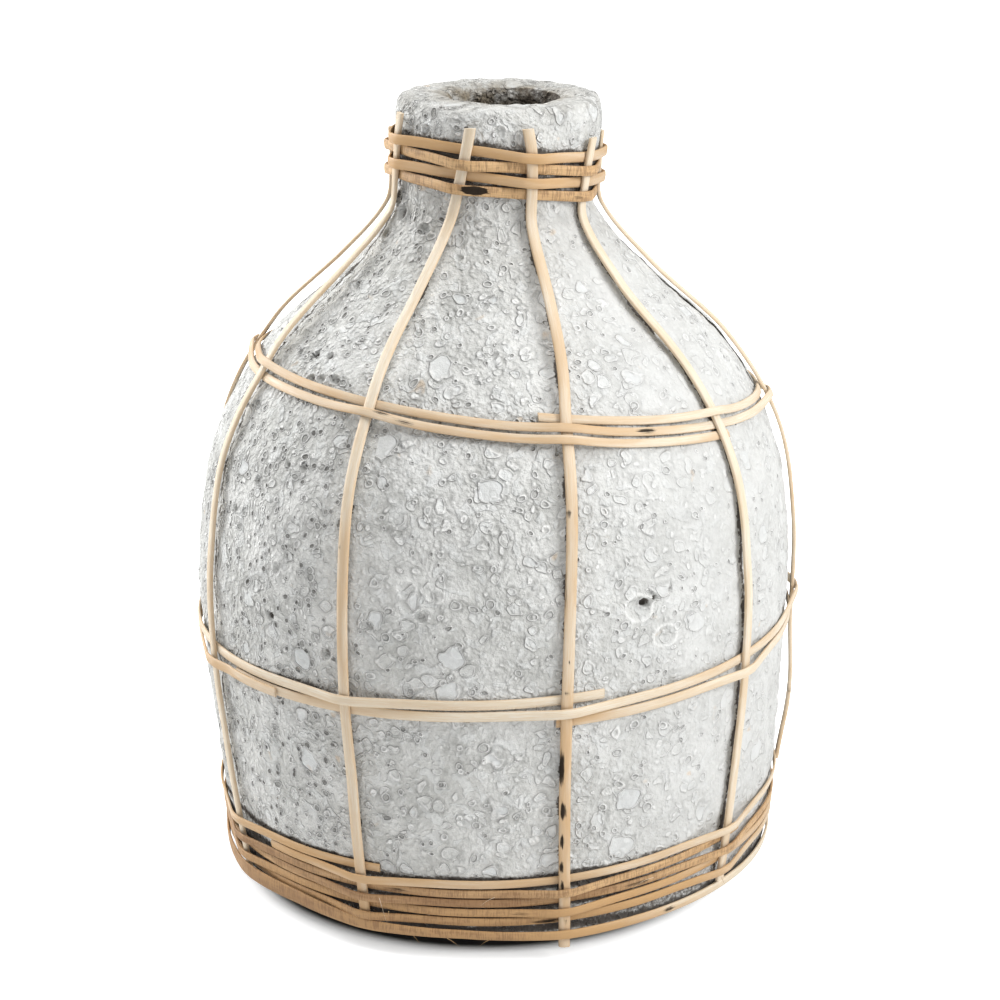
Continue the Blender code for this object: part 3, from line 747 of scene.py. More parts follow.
hollow_heights = [HOLLOW_KNOTS[-1] - HOLLOW_FINE_ROW * i for i in range(1, 20)]
hollow_heights += [hollow_heights[-1] - HOLLOW_ROW * i for i in range(1, 25)]
hollow_heights = [z for z in hollow_heights if z > HOLLOW_LOWEST]
hollow_wall = [(smooth_value(z, HOLLOW_KNOTS, HOLLOW_RADII), z) for z in hollow_heights]
hollow_corner = quarter_round((0.1110, HOLLOW_KNOTS[0]), HOLLOW_CORNER, -HOLLOW_CORNER, 4)
hollow_outline = hollow_wall + hollow_corner + [(0.060, HOLLOW_FLOOR), (0.0, HOLLOW_FLOOR)]
vessel_outline = outer_outline + lip_outside + lip_flat + lip_inside + hollow_outline
print("whole outline:", len(vessel_outline), "points")

# %% Spin the outline
vessel_mesh = bmesh.new()
points = [vessel_mesh.verts.new((radius, 0.0, z)) for radius, z in vessel_outline]
lines = [vessel_mesh.edges.new(pair) for pair in zip(points, points[1:])]
bmesh.ops.spin(
    vessel_mesh, geom=points + lines, cent=(0, 0, 0), axis=(0, 0, 1), dvec=(0, 0, 0),
    angle=2 * math.pi, steps=VESSEL_STEPS, use_merge=True, use_duplicate=False,
)
bmesh.ops.remove_doubles(vessel_mesh, verts=vessel_mesh.verts, dist=0.00001)
bmesh.ops.recalc_face_normals(vessel_mesh, faces=vessel_mesh.faces)
print("spun vessel:", len(vessel_mesh.verts), "vertices")


# %% [markdown]
# ### Craters worth placing
#
# Most pits are scattered by the clay's material. The ones that the eye finds again on this vase are
# placed one by one: each has its azimuth, its height on the wall, its radius round and up the wall and
# its depth, these four in tenths of a millimetre, and how dark its floor is, which is painted shade in the
# hollow. The first row, an oval on the right, is the largest.

# %% The placed craters
Crater = namedtuple("Crater", "azimuth height across up depth dark")
TENTHS = (
    (26.9, 1740, 62, 54, 22, 0.10), (28.5, 1761, 26, 24, 34, 0.95), (30.4, 1775, 17, 17, 22, 0.85),
    (29.5, 1798, 17, 15, 12, 0.35), (33.8, 1800, 16, 20, 10, 0.45), (32.6, 1586, 58, 44, 8, 0.04),
    (-60.8, 2729, 22, 20, 16, 0.70), (-54.3, 2745, 24, 22, 18, 0.75), (-48.4, 2755, 22, 22, 16, 0.70),
    (-50.3, 2658, 30, 21, 16, 0.60), (-46.4, 2668, 30, 21, 14, 0.55), (-42.2, 2677, 34, 22, 14, 0.55),
    (-40.1, 3287, 36, 30, 16, 0.30), (-68.1, 3230, 42, 36, 22, 0.45), (-66.7, 2998, 26, 24, 16, 0.50),
    (-62.2, 3010, 26, 24, 16, 0.50), (-70.4, 3377, 40, 50, 24, 0.75), (-62.0, 3329, 34, 40, 20, 0.60),
    (-16.4, 3190, 22, 19, 10, 0.25), (1.5, 3061, 24, 19, 10, 0.25), (-4.0, 3008, 22, 18, 10, 0.25),
    (-0.3, 2835, 24, 19, 10, 0.25), (-5.0, 2734, 22, 19, 10, 0.20), (-19.7, 2121, 21, 24, 10, 0.30),
    (-17.7, 2117, 19, 20, 8, 0.30), (-13.0, 1745, 32, 28, 16, 0.50), (-16.0, 1863, 42, 36, 8, 0.04),
    (-10.5, 1843, 38, 26, 8, 0.04), (-23.0, 1677, 34, 24, 10, 0.30), (-44.7, 1611, 26, 22, 18, 0.80),
    (-45.5, 2308, 20, 22, 14, 0.60), (-41.0, 2316, 20, 22, 14, 0.60), (-43.8, 1845, 24, 30, 12, 0.45),
    (-53.5, 2197, 18, 24, 12, 0.50), (-59.3, 2029, 24, 28, 14, 0.60), (-31.4, 1505, 26, 30, 14, 0.60),
    (-42.4, 3749, 30, 26, 12, 0.35), (0.2, 3770, 26, 22, 10, 0.30), (47.0, 3710, 20, 20, 10, 0.40),
    (70.0, 2060, 16, 24, 14, 0.80), (96.0, 2500, 30, 26, 14, 0.50), (112.0, 1500, 44, 36, 16, 0.40),
    (148.0, 2000, 34, 30, 16, 0.60), (152.0, 900, 28, 34, 14, 0.50), (186.0, 2350, 36, 30, 16, 0.45),
    (190.0, 1300, 26, 26, 14, 0.60), (230.0, 1900, 40, 32, 16, 0.50), (236.0, 1000, 26, 30, 14, 0.50),
    (275.0, 1500, 24, 28, 14, 0.60), (278.0, 2300, 26, 26, 14, 0.60),
)
CRATERS = [Crater(row[0], *(length / 10000 for length in row[1:5]), row[5]) for row in TENTHS]
print(len(CRATERS), "craters are placed")

# %% Cut the mesh finer around the craters
CRATER_MARGIN = 1.7
edge_list = list(vessel_mesh.edges)
first_ends = np.array([edge.verts[0].co for edge in edge_list])
second_ends = np.array([edge.verts[1].co for edge in edge_list])
chosen = np.zeros(len(edge_list), bool)
for crater in CRATERS:
    middle = wall_frame(math.radians(crater.azimuth), crater.height, 0.0)[0]
    middle.x -= wall_sway(crater.height)
    reach = CRATER_MARGIN * max(crater.across, crater.up)
    away = [np.linalg.norm(ends - np.array(middle), axis=1) for ends in (first_ends, second_ends)]
    chosen |= np.maximum(away[0], away[1]) < reach
cut_edges = [edge_list[index] for index in np.flatnonzero(chosen)]
bmesh.ops.subdivide_edges(vessel_mesh, edges=cut_edges, cuts=3, use_grid_fill=True)
print("vessel after cutting:", len(vessel_mesh.verts), "vertices")

# %% Where each vertex is
vessel_mesh.normal_update()
places = np.array([vertex.co for vertex in vessel_mesh.verts])
normals = np.array([vertex.normal for vertex in vessel_mesh.verts])
rings_out = np.hypot(places[:, 0], places[:, 1])
azimuths = np.degrees(np.arctan2(places[:, 0], -places[:, 1]))
heights = places[:, 2]
wall_table = np.linspace(STATION_HEIGHTS[0], LIP_HEIGHT, 400)
wall_radii = np.array([wall_radius(z) for z in wall_table])
OUTSIDE_DEPTH = 0.0060
MOUTH_EDGE = 0.0020
is_outside = rings_out > np.interp(heights, wall_table, wall_radii) - OUTSIDE_DEPTH
is_outside |= (heights > LIP_HEIGHT) & (rings_out > MOUTH_RADIUS + MOUTH_EDGE)
print("outside vertices:", int(is_outside.sum()))


def unit(values):
    """The values, cut off at 0 and 1."""
    return np.clip(values, 0.0, 1.0)


def hill(values, middle, spread, power=2):
    """1 at the middle, falling to 0 over about the spread. A higher power makes the top flatter."""
    return np.exp(-(((values - middle) / spread) ** power))


def ramp(values, start, length):
    """0 up to the start, then growing to 1 over the length. A negative length turns it round."""
    return unit((values - start) / length)


def turn_from(azimuth):
    """How far each vertex lies round from an azimuth, from -180 to 180 degrees."""
    return (azimuths - azimuth + 180.0) % 360.0 - 180.0

# %% Relief of the wall
LUMPS = (
    (0.0010, 15.0, (0.0, 0.0, 0.0)),
    (0.0009, 62.0, (3.1, 0.7, 5.3)),
    (0.0007, 170.0, (1.7, 4.1, 2.9)),
)
INWARD = 0.0002
OUTWARD_LIMIT = 0.0006
OUTWARD_SHARE = 0.3
CRATER_RIM_RATIO = 1.15
CRATER_RIM_SPREAD = 0.15
CRATER_RIM_SHARE = 0.50
CRATER_RIM_LIMIT = 0.0008
CRATER_ROUNDNESS = 0.75
CRATER_DARK_REACH = 1.25
FAR_AWAY = 9.0


def lumps(place):
    """Unevenness of the hand-built wall in metres. Each row has a size, a scale and a shift."""
    return sum(size * noise.noise(place * scale + Vector(shift)) for size, scale, shift in LUMPS) - INWARD


relief = np.array([lumps(vertex.co) for vertex in vessel_mesh.verts])
relief = np.minimum(relief, OUTWARD_LIMIT + OUTWARD_SHARE * np.maximum(relief - OUTWARD_LIMIT, 0.0))
crater_dark = np.zeros(len(places))
crater_rim = np.zeros(len(places))
for crater in CRATERS:
    around = np.radians(turn_from(crater.azimuth)) * np.interp(crater.height, wall_table, wall_radii)
    slope = wall_slope(crater.height) if crater.height < LIP_HEIGHT else 0.0
    up = (heights - crater.height) * math.hypot(1.0, slope)
    ratio = np.hypot(around / crater.across, up / crater.up)
    ratio[~is_outside] = FAR_AWAY
    bowl = unit(1.0 - ratio ** 2) ** CRATER_ROUNDNESS
    rim = hill(ratio, CRATER_RIM_RATIO, CRATER_RIM_SPREAD)
    relief += min(CRATER_RIM_SHARE * crater.depth, CRATER_RIM_LIMIT) * rim - crater.depth * bowl
    crater_rim = np.maximum(crater_rim, rim)
    crater_dark = np.maximum(crater_dark, crater.dark * unit(CRATER_DARK_REACH * bowl))
print(f"relief from {1000 * relief.min():.2f} to {1000 * relief.max():.2f} mm")

# %% Keep the foot flat and the lip within its height, and fray the mouth
INSIDE_SHARE = 0.4
LIP_RELIEF = 1.6
LIP_SINK = 0.0001
MOUTH_LOW = 0.3560
MOUTH_RAG = 0.0034
MOUTH_RAG_SCALE = 95.0
MOUTH_SHIFT = 0.0022
MOUTH_WIDENING = 0.0009
relief *= np.where(is_outside, ramp(heights, 0.0010, 0.0120), INSIDE_SHARE)
flat_top = (normals[:, 2] > 0.8) & (heights > LIP_HEIGHT)
relief = np.where(flat_top, np.minimum(relief, 0.0) * LIP_RELIEF - LIP_SINK, relief)
mouth_near = unit(1.0 - np.abs(rings_out - MOUTH_RADIUS - 0.003) / 0.0080) * (heights > MOUTH_LOW)
mouth_wide = unit(1.0 - (rings_out - MOUTH_RADIUS - 0.002) / 0.0120) * ramp(heights, 0.3300, 0.0200)
rag = np.array([noise.noise(v.co * MOUTH_RAG_SCALE + Vector((8.0, 2.0, 1.0))) for v in vessel_mesh.verts])
moved = places + normals * relief[:, None]
for axis in (0, 1):
    moved[:, axis] += MOUTH_RAG * mouth_near * rag * places[:, axis] / np.maximum(rings_out, 0.001)
moved[:, 0] += MOUTH_SHIFT * mouth_wide + MOUTH_WIDENING * mouth_wide * places[:, 0] / MOUTH_RADIUS
moved[:, 2] = np.clip(moved[:, 2], 0.0, TOP_HEIGHT)
moved[:, 0] += np.array([wall_sway(z) for z in heights])
print(f"top of the clay {1000 * moved[:, 2].max():.1f} mm")

# %% [markdown]
# ### Dust and painted shade, earth and pitting
#
# Dust has settled under the ribs and just above the bands, where no one can wipe it, and the shade in these
# gaps is painted along with it. A rib stands off the wall, so only a thin ragged line of this dust and
# painted shade shows beside it, and that line lies the further under the rib the further the rib stands
# off. A vertex stands every 2.5 mm, too far apart to draw the line, so the seam attribute keeps a straight
# ramp of the distance to it, and the material cuts the ramp off at one level. The crater floors, the gaps
# between the foot strands, the foot's underside and the inside of the mouth are also painted dark as shade.
# The other attributes say how earthy, pitted, pale-rimmed and lively the clay is at each vertex. It is
# earthy in the mouth, most pitted on the left, and calm on the right, where the key lamp falls full and its
# grey is painted plainer and darker, partly as painted shade.

# %% Distance to the ribs and bands
CRATER_SHADE = 0.95
SEAM_SPAN = 0.0100
SEAM_LINE = {"rib_1": 0.0013, "rib_2": -0.0009, "rib_3": -0.0001, "rib_4": 0.0009}
SEAM_LINE_ELSEWHERE = 0.0006
SEAM_BEYOND = 0.0012
SEAM_WAVES = ((0.0007, 290.0, 1), (0.0005, 131.0, -1))
SLANT_LIMIT = 66.0
SLANT_ELSEWHERE = 30.0
DUST_AND_SHADE_AT_BAND = {"neck": 0.85, "shoulder": 0.42, "belt": 0.42, "hem": 0.90, "foot": 0.90}
DUST_AND_SHADE_REACH = 0.0014
DUST_AND_SHADE_LESS_BELOW = 0.0020
MOST_TURNS = 7
# The crater floors are painted dark: painted shade in the hollows.
dust_and_shade = CRATER_SHADE * crater_dark
seam = np.zeros(len(places))
# A thin line of dust and painted shade beside each rib, on the side of the gap under the rib that faces the
# front.
for name, rib in RIBS.items():
    rib_line = np.degrees([rib_azimuth(rib, z) for z in wall_table])
    turn = turn_from(np.interp(heights, wall_table, rib_line))
    to_back = math.copysign(1.0, math.sin(math.radians(rib.belt))) * np.radians(turn) * rings_out
    wavy = sum(size * np.sin(heights * rate + sign * rib.belt) for size, rate, sign in SEAM_WAVES)
    stands_off = RIB_SEAT + np.interp(heights, wall_table, [rib_bow(rib, z) for z in wall_table])
    slant = SLANT_ELSEWHERE
    if name in SEAM_LINE:
        slant = np.interp(heights, wall_table, np.minimum(np.abs(rib_line), SLANT_LIMIT))
    under_rib = stands_off * np.tan(np.radians(slant))
    inward = to_back + RIB_WIDTH / 2
    past_front = under_rib - SEAM_LINE.get(name, SEAM_LINE_ELSEWHERE) + wavy - inward
    past_behind = inward - np.maximum(RIB_WIDTH, under_rib + SEAM_BEYOND)
    reached = (heights > HEM_HEIGHT - rib.foot_drop) & (heights < LIP_HEIGHT + rib.top_rise)
    level = unit(0.5 - np.maximum(past_front, past_behind) / SEAM_SPAN) * reached
    seam = np.maximum(seam, level * is_outside)
for strand in STRANDS.values():
    turns = np.arange(strand.start, strand.end, 1.0)
    line = np.array([strand_height(strand, math.radians(at)) for at in turns])
    # Painted shade as well as dust: the foot band's gaps are dark, the belt is darker round azimuth -42
    # degrees, and the foot band is lighter on the right, where the key lamp falls.
    strength = DUST_AND_SHADE_AT_BAND[strand.band]
    if strand.band == "belt":
        strength = strength + 0.40 * hill(azimuths, -42.0, 13.0)
    if strand.band == "foot":
        strength = strength * (1.0 - 0.65 * hill(azimuths, 58.0, 26.0))
    for count in range(-1, MOST_TURNS):
        counted = azimuths + 360.0 * count
        inside = (counted > strand.start) & (counted < strand.end)
        above = heights - np.interp(counted, turns, line)
        away = np.abs(above) - STRAND_WIDTHS[strand.band] / 2 + np.where(above < 0, DUST_AND_SHADE_LESS_BELOW, 0.0)
        near = hill(np.maximum(away, 0.0), 0.0, DUST_AND_SHADE_REACH) * inside
        dust_and_shade = np.maximum(dust_and_shade, strength * near)
# Painted shade: the foot's underside is painted nearly black, and the clay up to the foot band is painted
# darker.
foot_underside_shade = ramp(heights, 0.0125, -0.0040)
shaded_foot = 0.62 * ramp(heights, 0.0280, -0.0050)
dust_and_shade = np.maximum(dust_and_shade, np.maximum(foot_underside_shade, shaded_foot)) * is_outside
print(f"dusty vertices: {int((dust_and_shade > 0.3).sum())}")

# %% Earth and pitting
in_mouth = (~is_outside) & (heights > 0.30)
lip_top = ramp(heights, 0.3790, 0.0050) * is_outside
near_neck = unit(1.0 - np.abs(heights - 0.3350) / 0.0300) * is_outside
left_side = hill(azimuths, -56.0, 30.0, 4)
right_side = hill(azimuths, 52.0, 34.0)
behind = ramp(np.abs(azimuths), 95.0, 30.0)
mouth_shade_side = unit(0.5 + 0.5 * np.sin(np.radians(azimuths)))
# The inside of the mouth is painted darker, more so on the right: painted shade in the hollow.
marks_of_clay = {
    "dust_and_shade": np.maximum(dust_and_shade, in_mouth * (0.42 + 0.30 * mouth_shade_side)),
    "earth": unit(in_mouth + 0.50 * mouth_wide + 0.18 * lip_top + 0.16 * near_neck),
    "pitting": unit(0.16 + 0.80 * left_side + 0.40 * behind + 0.25 * near_neck),
    "rim": crater_rim,
    "lively": 1.0 - 0.62 * right_side + 0.35 * left_side + 0.40 * ramp(heights, 0.3350, 0.0200),
    "seam": seam,
}
for name, values in marks_of_clay.items():
    layer = vessel_mesh.verts.layers.float.new(name)
    for vertex, value in zip(vessel_mesh.verts, values):
        vertex[layer] = value
for vertex, place in zip(vessel_mesh.verts, moved):
    vertex.co = place
print("attributes of the clay:", ", ".join(marks_of_clay))


# %% Finish the vessel
VESSEL_SHARP_ANGLE = 75


def add_object(name, data):
    item = bpy.data.objects.new(name, data)
    bpy.context.scene.collection.objects.link(item)
    return item


def finish_piece(name, mesh, material, node, sharp):
    """An object of a mesh, at the origin and in the place of its frame node."""
    data = bpy.data.meshes.new(name)
    mesh.to_mesh(data)
    mesh.free()
    data.materials.append(material)
    data.shade_smooth()
    data.set_sharp_from_angle(angle=math.radians(sharp))
    piece = add_object(name, data)
    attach(piece, "root")
    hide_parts(node)
    return piece


vessel = finish_piece("clay_vessel", vessel_mesh, clay, "vessel", VESSEL_SHARP_ANGLE)
print("vessel triangles:", sum(len(face.vertices) - 2 for face in vessel.data.polygons))


# %% [markdown]
# ## Strips of cane
#
# Each rib and strand is one flat strip: sawn flat on the inside, softly crowned outside, with worn edges.
# A curve with a bevel object could draw it, but the strip must turn with the wall and change its width a
# little, so its section is extruded from one cut end to the other. Each new section is placed on the wall
# and gets its place on the strip for the grain, its tone and its bark.

# %% The section of a strip
SECTION = (
    (-0.94, 0.00), (0.94, 0.00), (1.00, 0.16), (1.00, 0.56), (0.88, 0.77), (0.50, 0.94),
    (0.00, 1.00), (-0.50, 0.94), (-0.88, 0.77), (-1.00, 0.56), (-1.00, 0.16),
)


Section = namedtuple("Section", "point across outward width thickness along tone at")


def section_points(section):
    half = section.width / 2
    return [
        section.point + section.across * (half * x) + section.outward * (section.thickness * y)
        for x, y in SECTION
    ]


# %% Extrude a strip
MARK_NAMES = ("along", "across", "tone", "bark")


def set_marks(vertex, marks, *values):
    """Sets how far along and across the strip a vertex lies, and its tone and bark."""
    for name, value in zip(MARK_NAMES, values):
        vertex[marks[name]] = value


def extrude_to(mesh, end, points):
    """Extrudes the end face, moves the new face to the points and gives it back."""
    grown = bmesh.ops.extrude_face_region(mesh, geom=[end, *end.edges, *end.verts])["geom"]
    end = next(item for item in grown if isinstance(item, bmesh.types.BMFace))
    for vertex, point in zip(end.verts, points):
        vertex.co = point
    return end


def strip_mesh(name, sections):
    """A closed strip through the sections, with its grain coordinates and attributes."""
    mesh = bmesh.new()
    marks = {mark: mesh.verts.layers.float.new(mark) for mark in MARK_NAMES}
    end = None
    for section in sections:
        points = section_points(section)
        if end is None:
            end = mesh.faces.new([mesh.verts.new(point) for point in points])
        else:
            end = extrude_to(mesh, end, points)
        for vertex, (x, _) in zip(end.verts, SECTION):
            bark = bark_at(name, section.at, x)
            set_marks(vertex, marks, section.along, 0.5 + 0.5 * x, section.tone, bark)
    return mesh, marks


def map_strip(mesh, marks):
    """The UV map named strip, from the lengths kept in the vertices."""
    layer = mesh.loops.layers.uv.new("strip")
    for face in mesh.faces:
        for loop in face.loops:
            loop[layer].uv = (loop.vert[marks["along"]], loop.vert[marks["across"]])


# %% [markdown]
# ### Loose fibres
#
# Where cane is cut or split, fine fibres stand up from it. Each is a thin bent hair with three sides,
# made by extruding a small triangle along an arc and drawing it to a point. It belongs to the mesh of its
# strip.

# %% A loose fibre
FIBRE_STEPS = 6
FIBRE_TAPER = 0.85
FIBRE_ANGLES = (0.0, 2.094, 4.189)


def add_fibre(mesh, marks, start, direction, droop, length, radius, tone):
    """A hair from start that begins in one direction and bends towards another."""
    side = direction.cross(droop).normalized()
    up = side.cross(direction).normalized()
    corners = [side * math.cos(angle) + up * math.sin(angle) for angle in FIBRE_ANGLES]
    end = mesh.faces.new([mesh.verts.new(start + corner * radius) for corner in corners])
    for vertex in end.verts:
        set_marks(vertex, marks, 0.0, 0.5, tone, 0.0)
    for count in range(1, FIBRE_STEPS + 1):
        t = count / FIBRE_STEPS
        middle = start + direction * (length * t) + droop * (length * 0.5 * t * t)
        thin = radius * (1.0 - FIBRE_TAPER * t)
        end = extrude_to(mesh, end, [middle + corner * thin for corner in corners])
        for vertex in end.verts:
            set_marks(vertex, marks, length * t, 0.5, tone, 0.0)


# %% [markdown]
# ### Knots and bark
#
# One rib still has dark bark below the belt, a neck strand has a dark knot, and a few strands have small
# brown marks. Each mark is an oval: its start and end, its middle across the width from -1 to 1, how far
# it reaches across, and how strong it is. Ribs are marked by height, strands by azimuth.

# %% The marks
MARKS = {
    "rib_3": (
        (0.0370, 0.0450, -0.5, 0.45, 1.2), (0.0465, 0.0560, -0.6, 0.50, 1.3),
        (0.0590, 0.0700, -0.5, 0.55, 1.3), (0.0740, 0.0870, -0.4, 0.60, 1.4),
        (0.0900, 0.1150, -0.8, 0.70, 1.2), (0.1385, 0.1420, -0.3, 0.6, 0.8),
        (0.1530, 0.1550, 0.0, 0.4, 1.0), (0.1700, 0.2030, -1.0, 0.5, 0.55),
        (0.2180, 0.2230, -0.6, 0.7, 0.9), (0.0190, 0.0240, 0.2, 0.6, 0.7),
    ),
    "rib_5": ((0.0790, 0.0880, 0.0, 1.4, 1.0), (0.1700, 0.1740, 0.0, 1.0, 0.7)),
    "rib_2": ((0.2005, 0.2045, -0.6, 0.6, 0.7), (0.0290, 0.0315, 0.0, 0.6, 0.6)),
    "neck_strand_4": ((341.2, 356.8, 0.15, 0.95, 3.0), (404.0, 412.0, 0.0, 0.7, 0.7)),
    "neck_strand_2": ((299.0, 304.0, 0.0, 0.9, 0.7),),
    "shoulder_strand": (
        (390.0, 397.0, 0.1, 0.8, 1.1), (692.0, 698.0, 0.6, 0.6, 0.9),
        (697.0, 704.0, -0.2, 0.7, 0.8),
    ),
    "foot_strand_lower": ((365.0, 375.0, -0.2, 0.9, 0.9), (721.0, 727.0, 0.0, 0.7, 0.7)),
    "hem_strand": ((33.5, 38.0, 0.0, 0.9, 0.9),),
    "foot_strand_middle": ((1104.0, 1112.0, 0.0, 0.8, 0.9), (1417.0, 1424.0, 0.0, 0.8, 0.8)),
}


def bark_at(name, at, across):
    """Bark of a piece at a height or azimuth and at a place across its width."""
    bark = 0.0
    for start, end, middle, reach, strength in MARKS.get(name, ()):
        half = (end - start) / 2
        off = ((at - start - half) / half) ** 2 + ((across - middle) / reach) ** 2
        bark = max(bark, strength * (1.0 - off))
    return bark


# %% [markdown]
# ### The ribs
#
# A rib runs straight past the foot's curve and past the lip. Its width changes by a few hundredths along
# its length and its line wanders by a third of a millimetre, as cane pressed on a rough wall does.

# %% Tones and lengths
TONES = {
    "rib_1": 0.10, "rib_2": 0.16, "rib_3": 0.34, "rib_4": 0.04, "rib_5": 0.00, "rib_6": 0.16,
    "rib_7": 0.24, "rib_8": 0.10, "rib_9": 0.30, "neck_strand_1": 0.80, "neck_strand_2": 0.05,
    "neck_strand_3": 0.84, "neck_strand_4": 0.15, "shoulder_strand": 0.50, "belt_strand_lower": 0.56,
    "belt_strand_upper": 0.26, "hem_strand": 1.62, "foot_strand_lower": 1.46, "foot_strand_middle": 0.55,
    "foot_strand_top": 0.70,
}
LOW_TAN = {"rib_1": 0.05, "rib_2": 0.34, "rib_3": 0.26, "rib_4": 0.20}
# Painted light: each band's strands are painted paler towards the right, where the key lamp falls.
LIT_SIDE_PALING = {"neck": 0.20, "shoulder": 0.60, "belt": 0.60, "hem": 1.25, "foot": 0.70}
STEP_LENGTH = 0.0025
TONE_SEED = 0.37
HEM_BROAD = 0.0034
HEM_BROAD_AZIMUTH = -72.0
HEM_BROAD_SPREAD = 44.0


def wander(name, along, scale, seed):
    """A slow noise along one strip, different for each piece."""
    return noise.noise(Vector((along * scale, list(TONES).index(name) * 7.3, seed)))


def rib_sections(name):
    rib = RIBS[name]
    low, high = HEM_HEIGHT - rib.foot_drop, LIP_HEIGHT + rib.top_rise
    rows = round((high - low + 0.11) / STEP_LENGTH)
    found = []
    along = TONE_SEED * list(TONES).index(name)
    for at in even_heights(low, high, rows):
        on_wall = min(max(at, FOOT_HEIGHT), LIP_HEIGHT)
        azimuth = rib_azimuth(rib, at) + 0.0003 * wander(name, along, 30.0, 1.0) / wall_radius(on_wall)
        point, around, _, outward = wall_frame(azimuth, on_wall, RIB_SEAT + rib_bow(rib, at))
        point.z += at - on_wall
        if found:
            along += (point - found[-1].point).length
        width = RIB_WIDTH * (1.0 + 0.05 * wander(name, along, 22.0, 2.0))
        thickness = RIB_THICKNESS * (0.96 + 0.08 * wander(name, along, 60.0, 3.0))
        lowness = min(max(1.0 - at / SHOULDER_HEIGHT, 0.0), 1.0) ** 0.7
        tone = TONES[name] + LOW_TAN.get(name, 0.25) * lowness + 0.20 * wander(name, along, 12.0, 4.0)
        found.append(Section(point, around, outward, width, thickness, along, tone, at))
    return found


# %% [markdown]
# ### The strands
#
# A strand's line comes from its band, and its lift over each rib from the crossings. Its sections are
# evenly spaced, close enough together to bend smoothly over each rib.

# %% Sections of a strand
def strand_sections(name):
    strand = STRANDS[name]
    crossings = crossings_of(strand)
    width = STRAND_WIDTHS[strand.band]
    start, end = math.radians(strand.start), math.radians(strand.end)
    middle_radius = wall_radius(strand_height(strand, start))
    count = round((end - start) * middle_radius / STEP_LENGTH)
    found = []
    along = TONE_SEED * list(TONES).index(name)
    for i in range(count + 1):
        azimuth = start + (end - start) * i / count
        height = strand_height(strand, azimuth) + 0.00012 * wander(name, along, 25.0, 1.0)
        offset = strand_offset(strand, azimuth, crossings)
        point, _, up, outward = wall_frame(azimuth, height, offset)
        if found:
            along += (point - found[-1].point).length
        wide = width * (1.0 + 0.045 * wander(name, along, 20.0, 2.0))
        if strand.band == "hem":
            broad = HEM_BROAD * hill(math.degrees(azimuth), HEM_BROAD_AZIMUTH, HEM_BROAD_SPREAD, 4)
            wide += broad
            height += broad / 2
            point, _, up, outward = wall_frame(azimuth, height, offset)
        thick = STRAND_THICKNESS * (0.95 + 0.10 * wander(name, along, 50.0, 3.0))
        # Painted light: paler towards the lit right side.
        lit_side_paling = 1.0 - LIT_SIDE_PALING[strand.band] * max(0.0, math.sin(azimuth))
        tone = TONES[name] * lit_side_paling + 0.26 * wander(name, along, 9.0, 4.0)
        found.append(Section(point, up, outward, wide, thick, along, tone, math.degrees(azimuth)))
    return found


# %% [markdown]
# ### Cut ends
#
# The strips were nipped off, so their ends are a little ragged. The last face of each end gets its
# corners pushed in and out along the strip, and a few fibres are left standing.

# %% Rag the cut ends
CUT_RAG = 0.0004
END_FIBRES = 3
END_FIBRE_GAP = 0.32
END_FIBRE_ROOT = 0.0004
END_FIBRE_LENGTH = 0.0011
END_FIBRE_CHANGE = 0.0006
END_FIBRE_RADIUS = 0.00012


def rag_ends(mesh, marks, sections, tone):
    for section, beside in ((sections[0], sections[1]), (sections[-1], sections[-2])):
        direction = (section.point - beside.point).normalized()
        ends = [vertex for vertex in mesh.verts if abs(vertex[marks["along"]] - section.along) < 1e-6]
        for vertex in ends:
            vertex.co += direction * CUT_RAG * noise.noise(vertex.co * 2100.0)
        for count in range(END_FIBRES):
            shift = (count - 1) * END_FIBRE_GAP * section.width
            start = section.point + section.across * shift + section.outward * section.thickness * 0.6
            bend = (section.outward * (0.4 + 0.3 * count) + section.across * (count - 1)).normalized()
            length = END_FIBRE_LENGTH + END_FIBRE_CHANGE * noise.noise(start * 900.0)
            root = start - direction * END_FIBRE_ROOT
            add_fibre(mesh, marks, root, direction, bend, length, END_FIBRE_RADIUS, tone)


# %% [markdown]
# ### Whiskers
#
# Some longer whiskers have split off along the foot and at the neck. Each starts at an azimuth, a height
# and a distance off the wall, and lies at an angle to the ring.

# %% The whiskers
WHISKER_RADIUS = 0.00014
WHISKERS = {
    "neck_strand_2": ((24.5, 0.3570, 0.0060, 28.0, 0.0100),),
    "foot_strand_top": (
        (-23.0, 0.0310, 0.0050, -72.0, 0.0110), (-0.5, 0.0365, 0.0042, 196.0, 0.0080),
        (46.0, 0.0420, 0.0046, 158.0, 0.0200), (31.0, 0.0370, 0.0044, 172.0, 0.0160),
    ),
    "foot_strand_middle": (
        (-21.0, 0.0255, 0.0062, -100.0, 0.0060), (50.0, 0.0360, 0.0060, 20.0, 0.0090),
    ),
    "hem_strand": (
        (-10.0, 0.0125, 0.0040, -20.0, 0.0060), (-2.0, 0.0125, 0.0040, 200.0, 0.0050),
        (-17.0, 0.0125, 0.0040, -35.0, 0.0045),
    ),
    "foot_strand_lower": ((49.0, 0.0230, 0.0060, -60.0, 0.0050),),
    "belt_strand_upper": ((196.0, 0.1300, 0.0030, 12.0, 0.0080),),
    "shoulder_strand": ((142.0, 0.2490, 0.0030, 168.0, 0.0070),),
}


def add_whiskers(name, mesh, marks, tone):
    for azimuth, height, away, turned, length in WHISKERS.get(name, ()):
        start, around, up, outward = wall_frame(math.radians(azimuth), height, away)
        turn = math.radians(turned)
        direction = (around * math.cos(turn) + up * math.sin(turn) + outward * 0.10).normalized()
        bend = (outward * 0.25 - up * 0.5 + around * 0.2).normalized()
        add_fibre(mesh, marks, start, direction, bend * 0.5, length, WHISKER_RADIUS, 0.5 * tone)


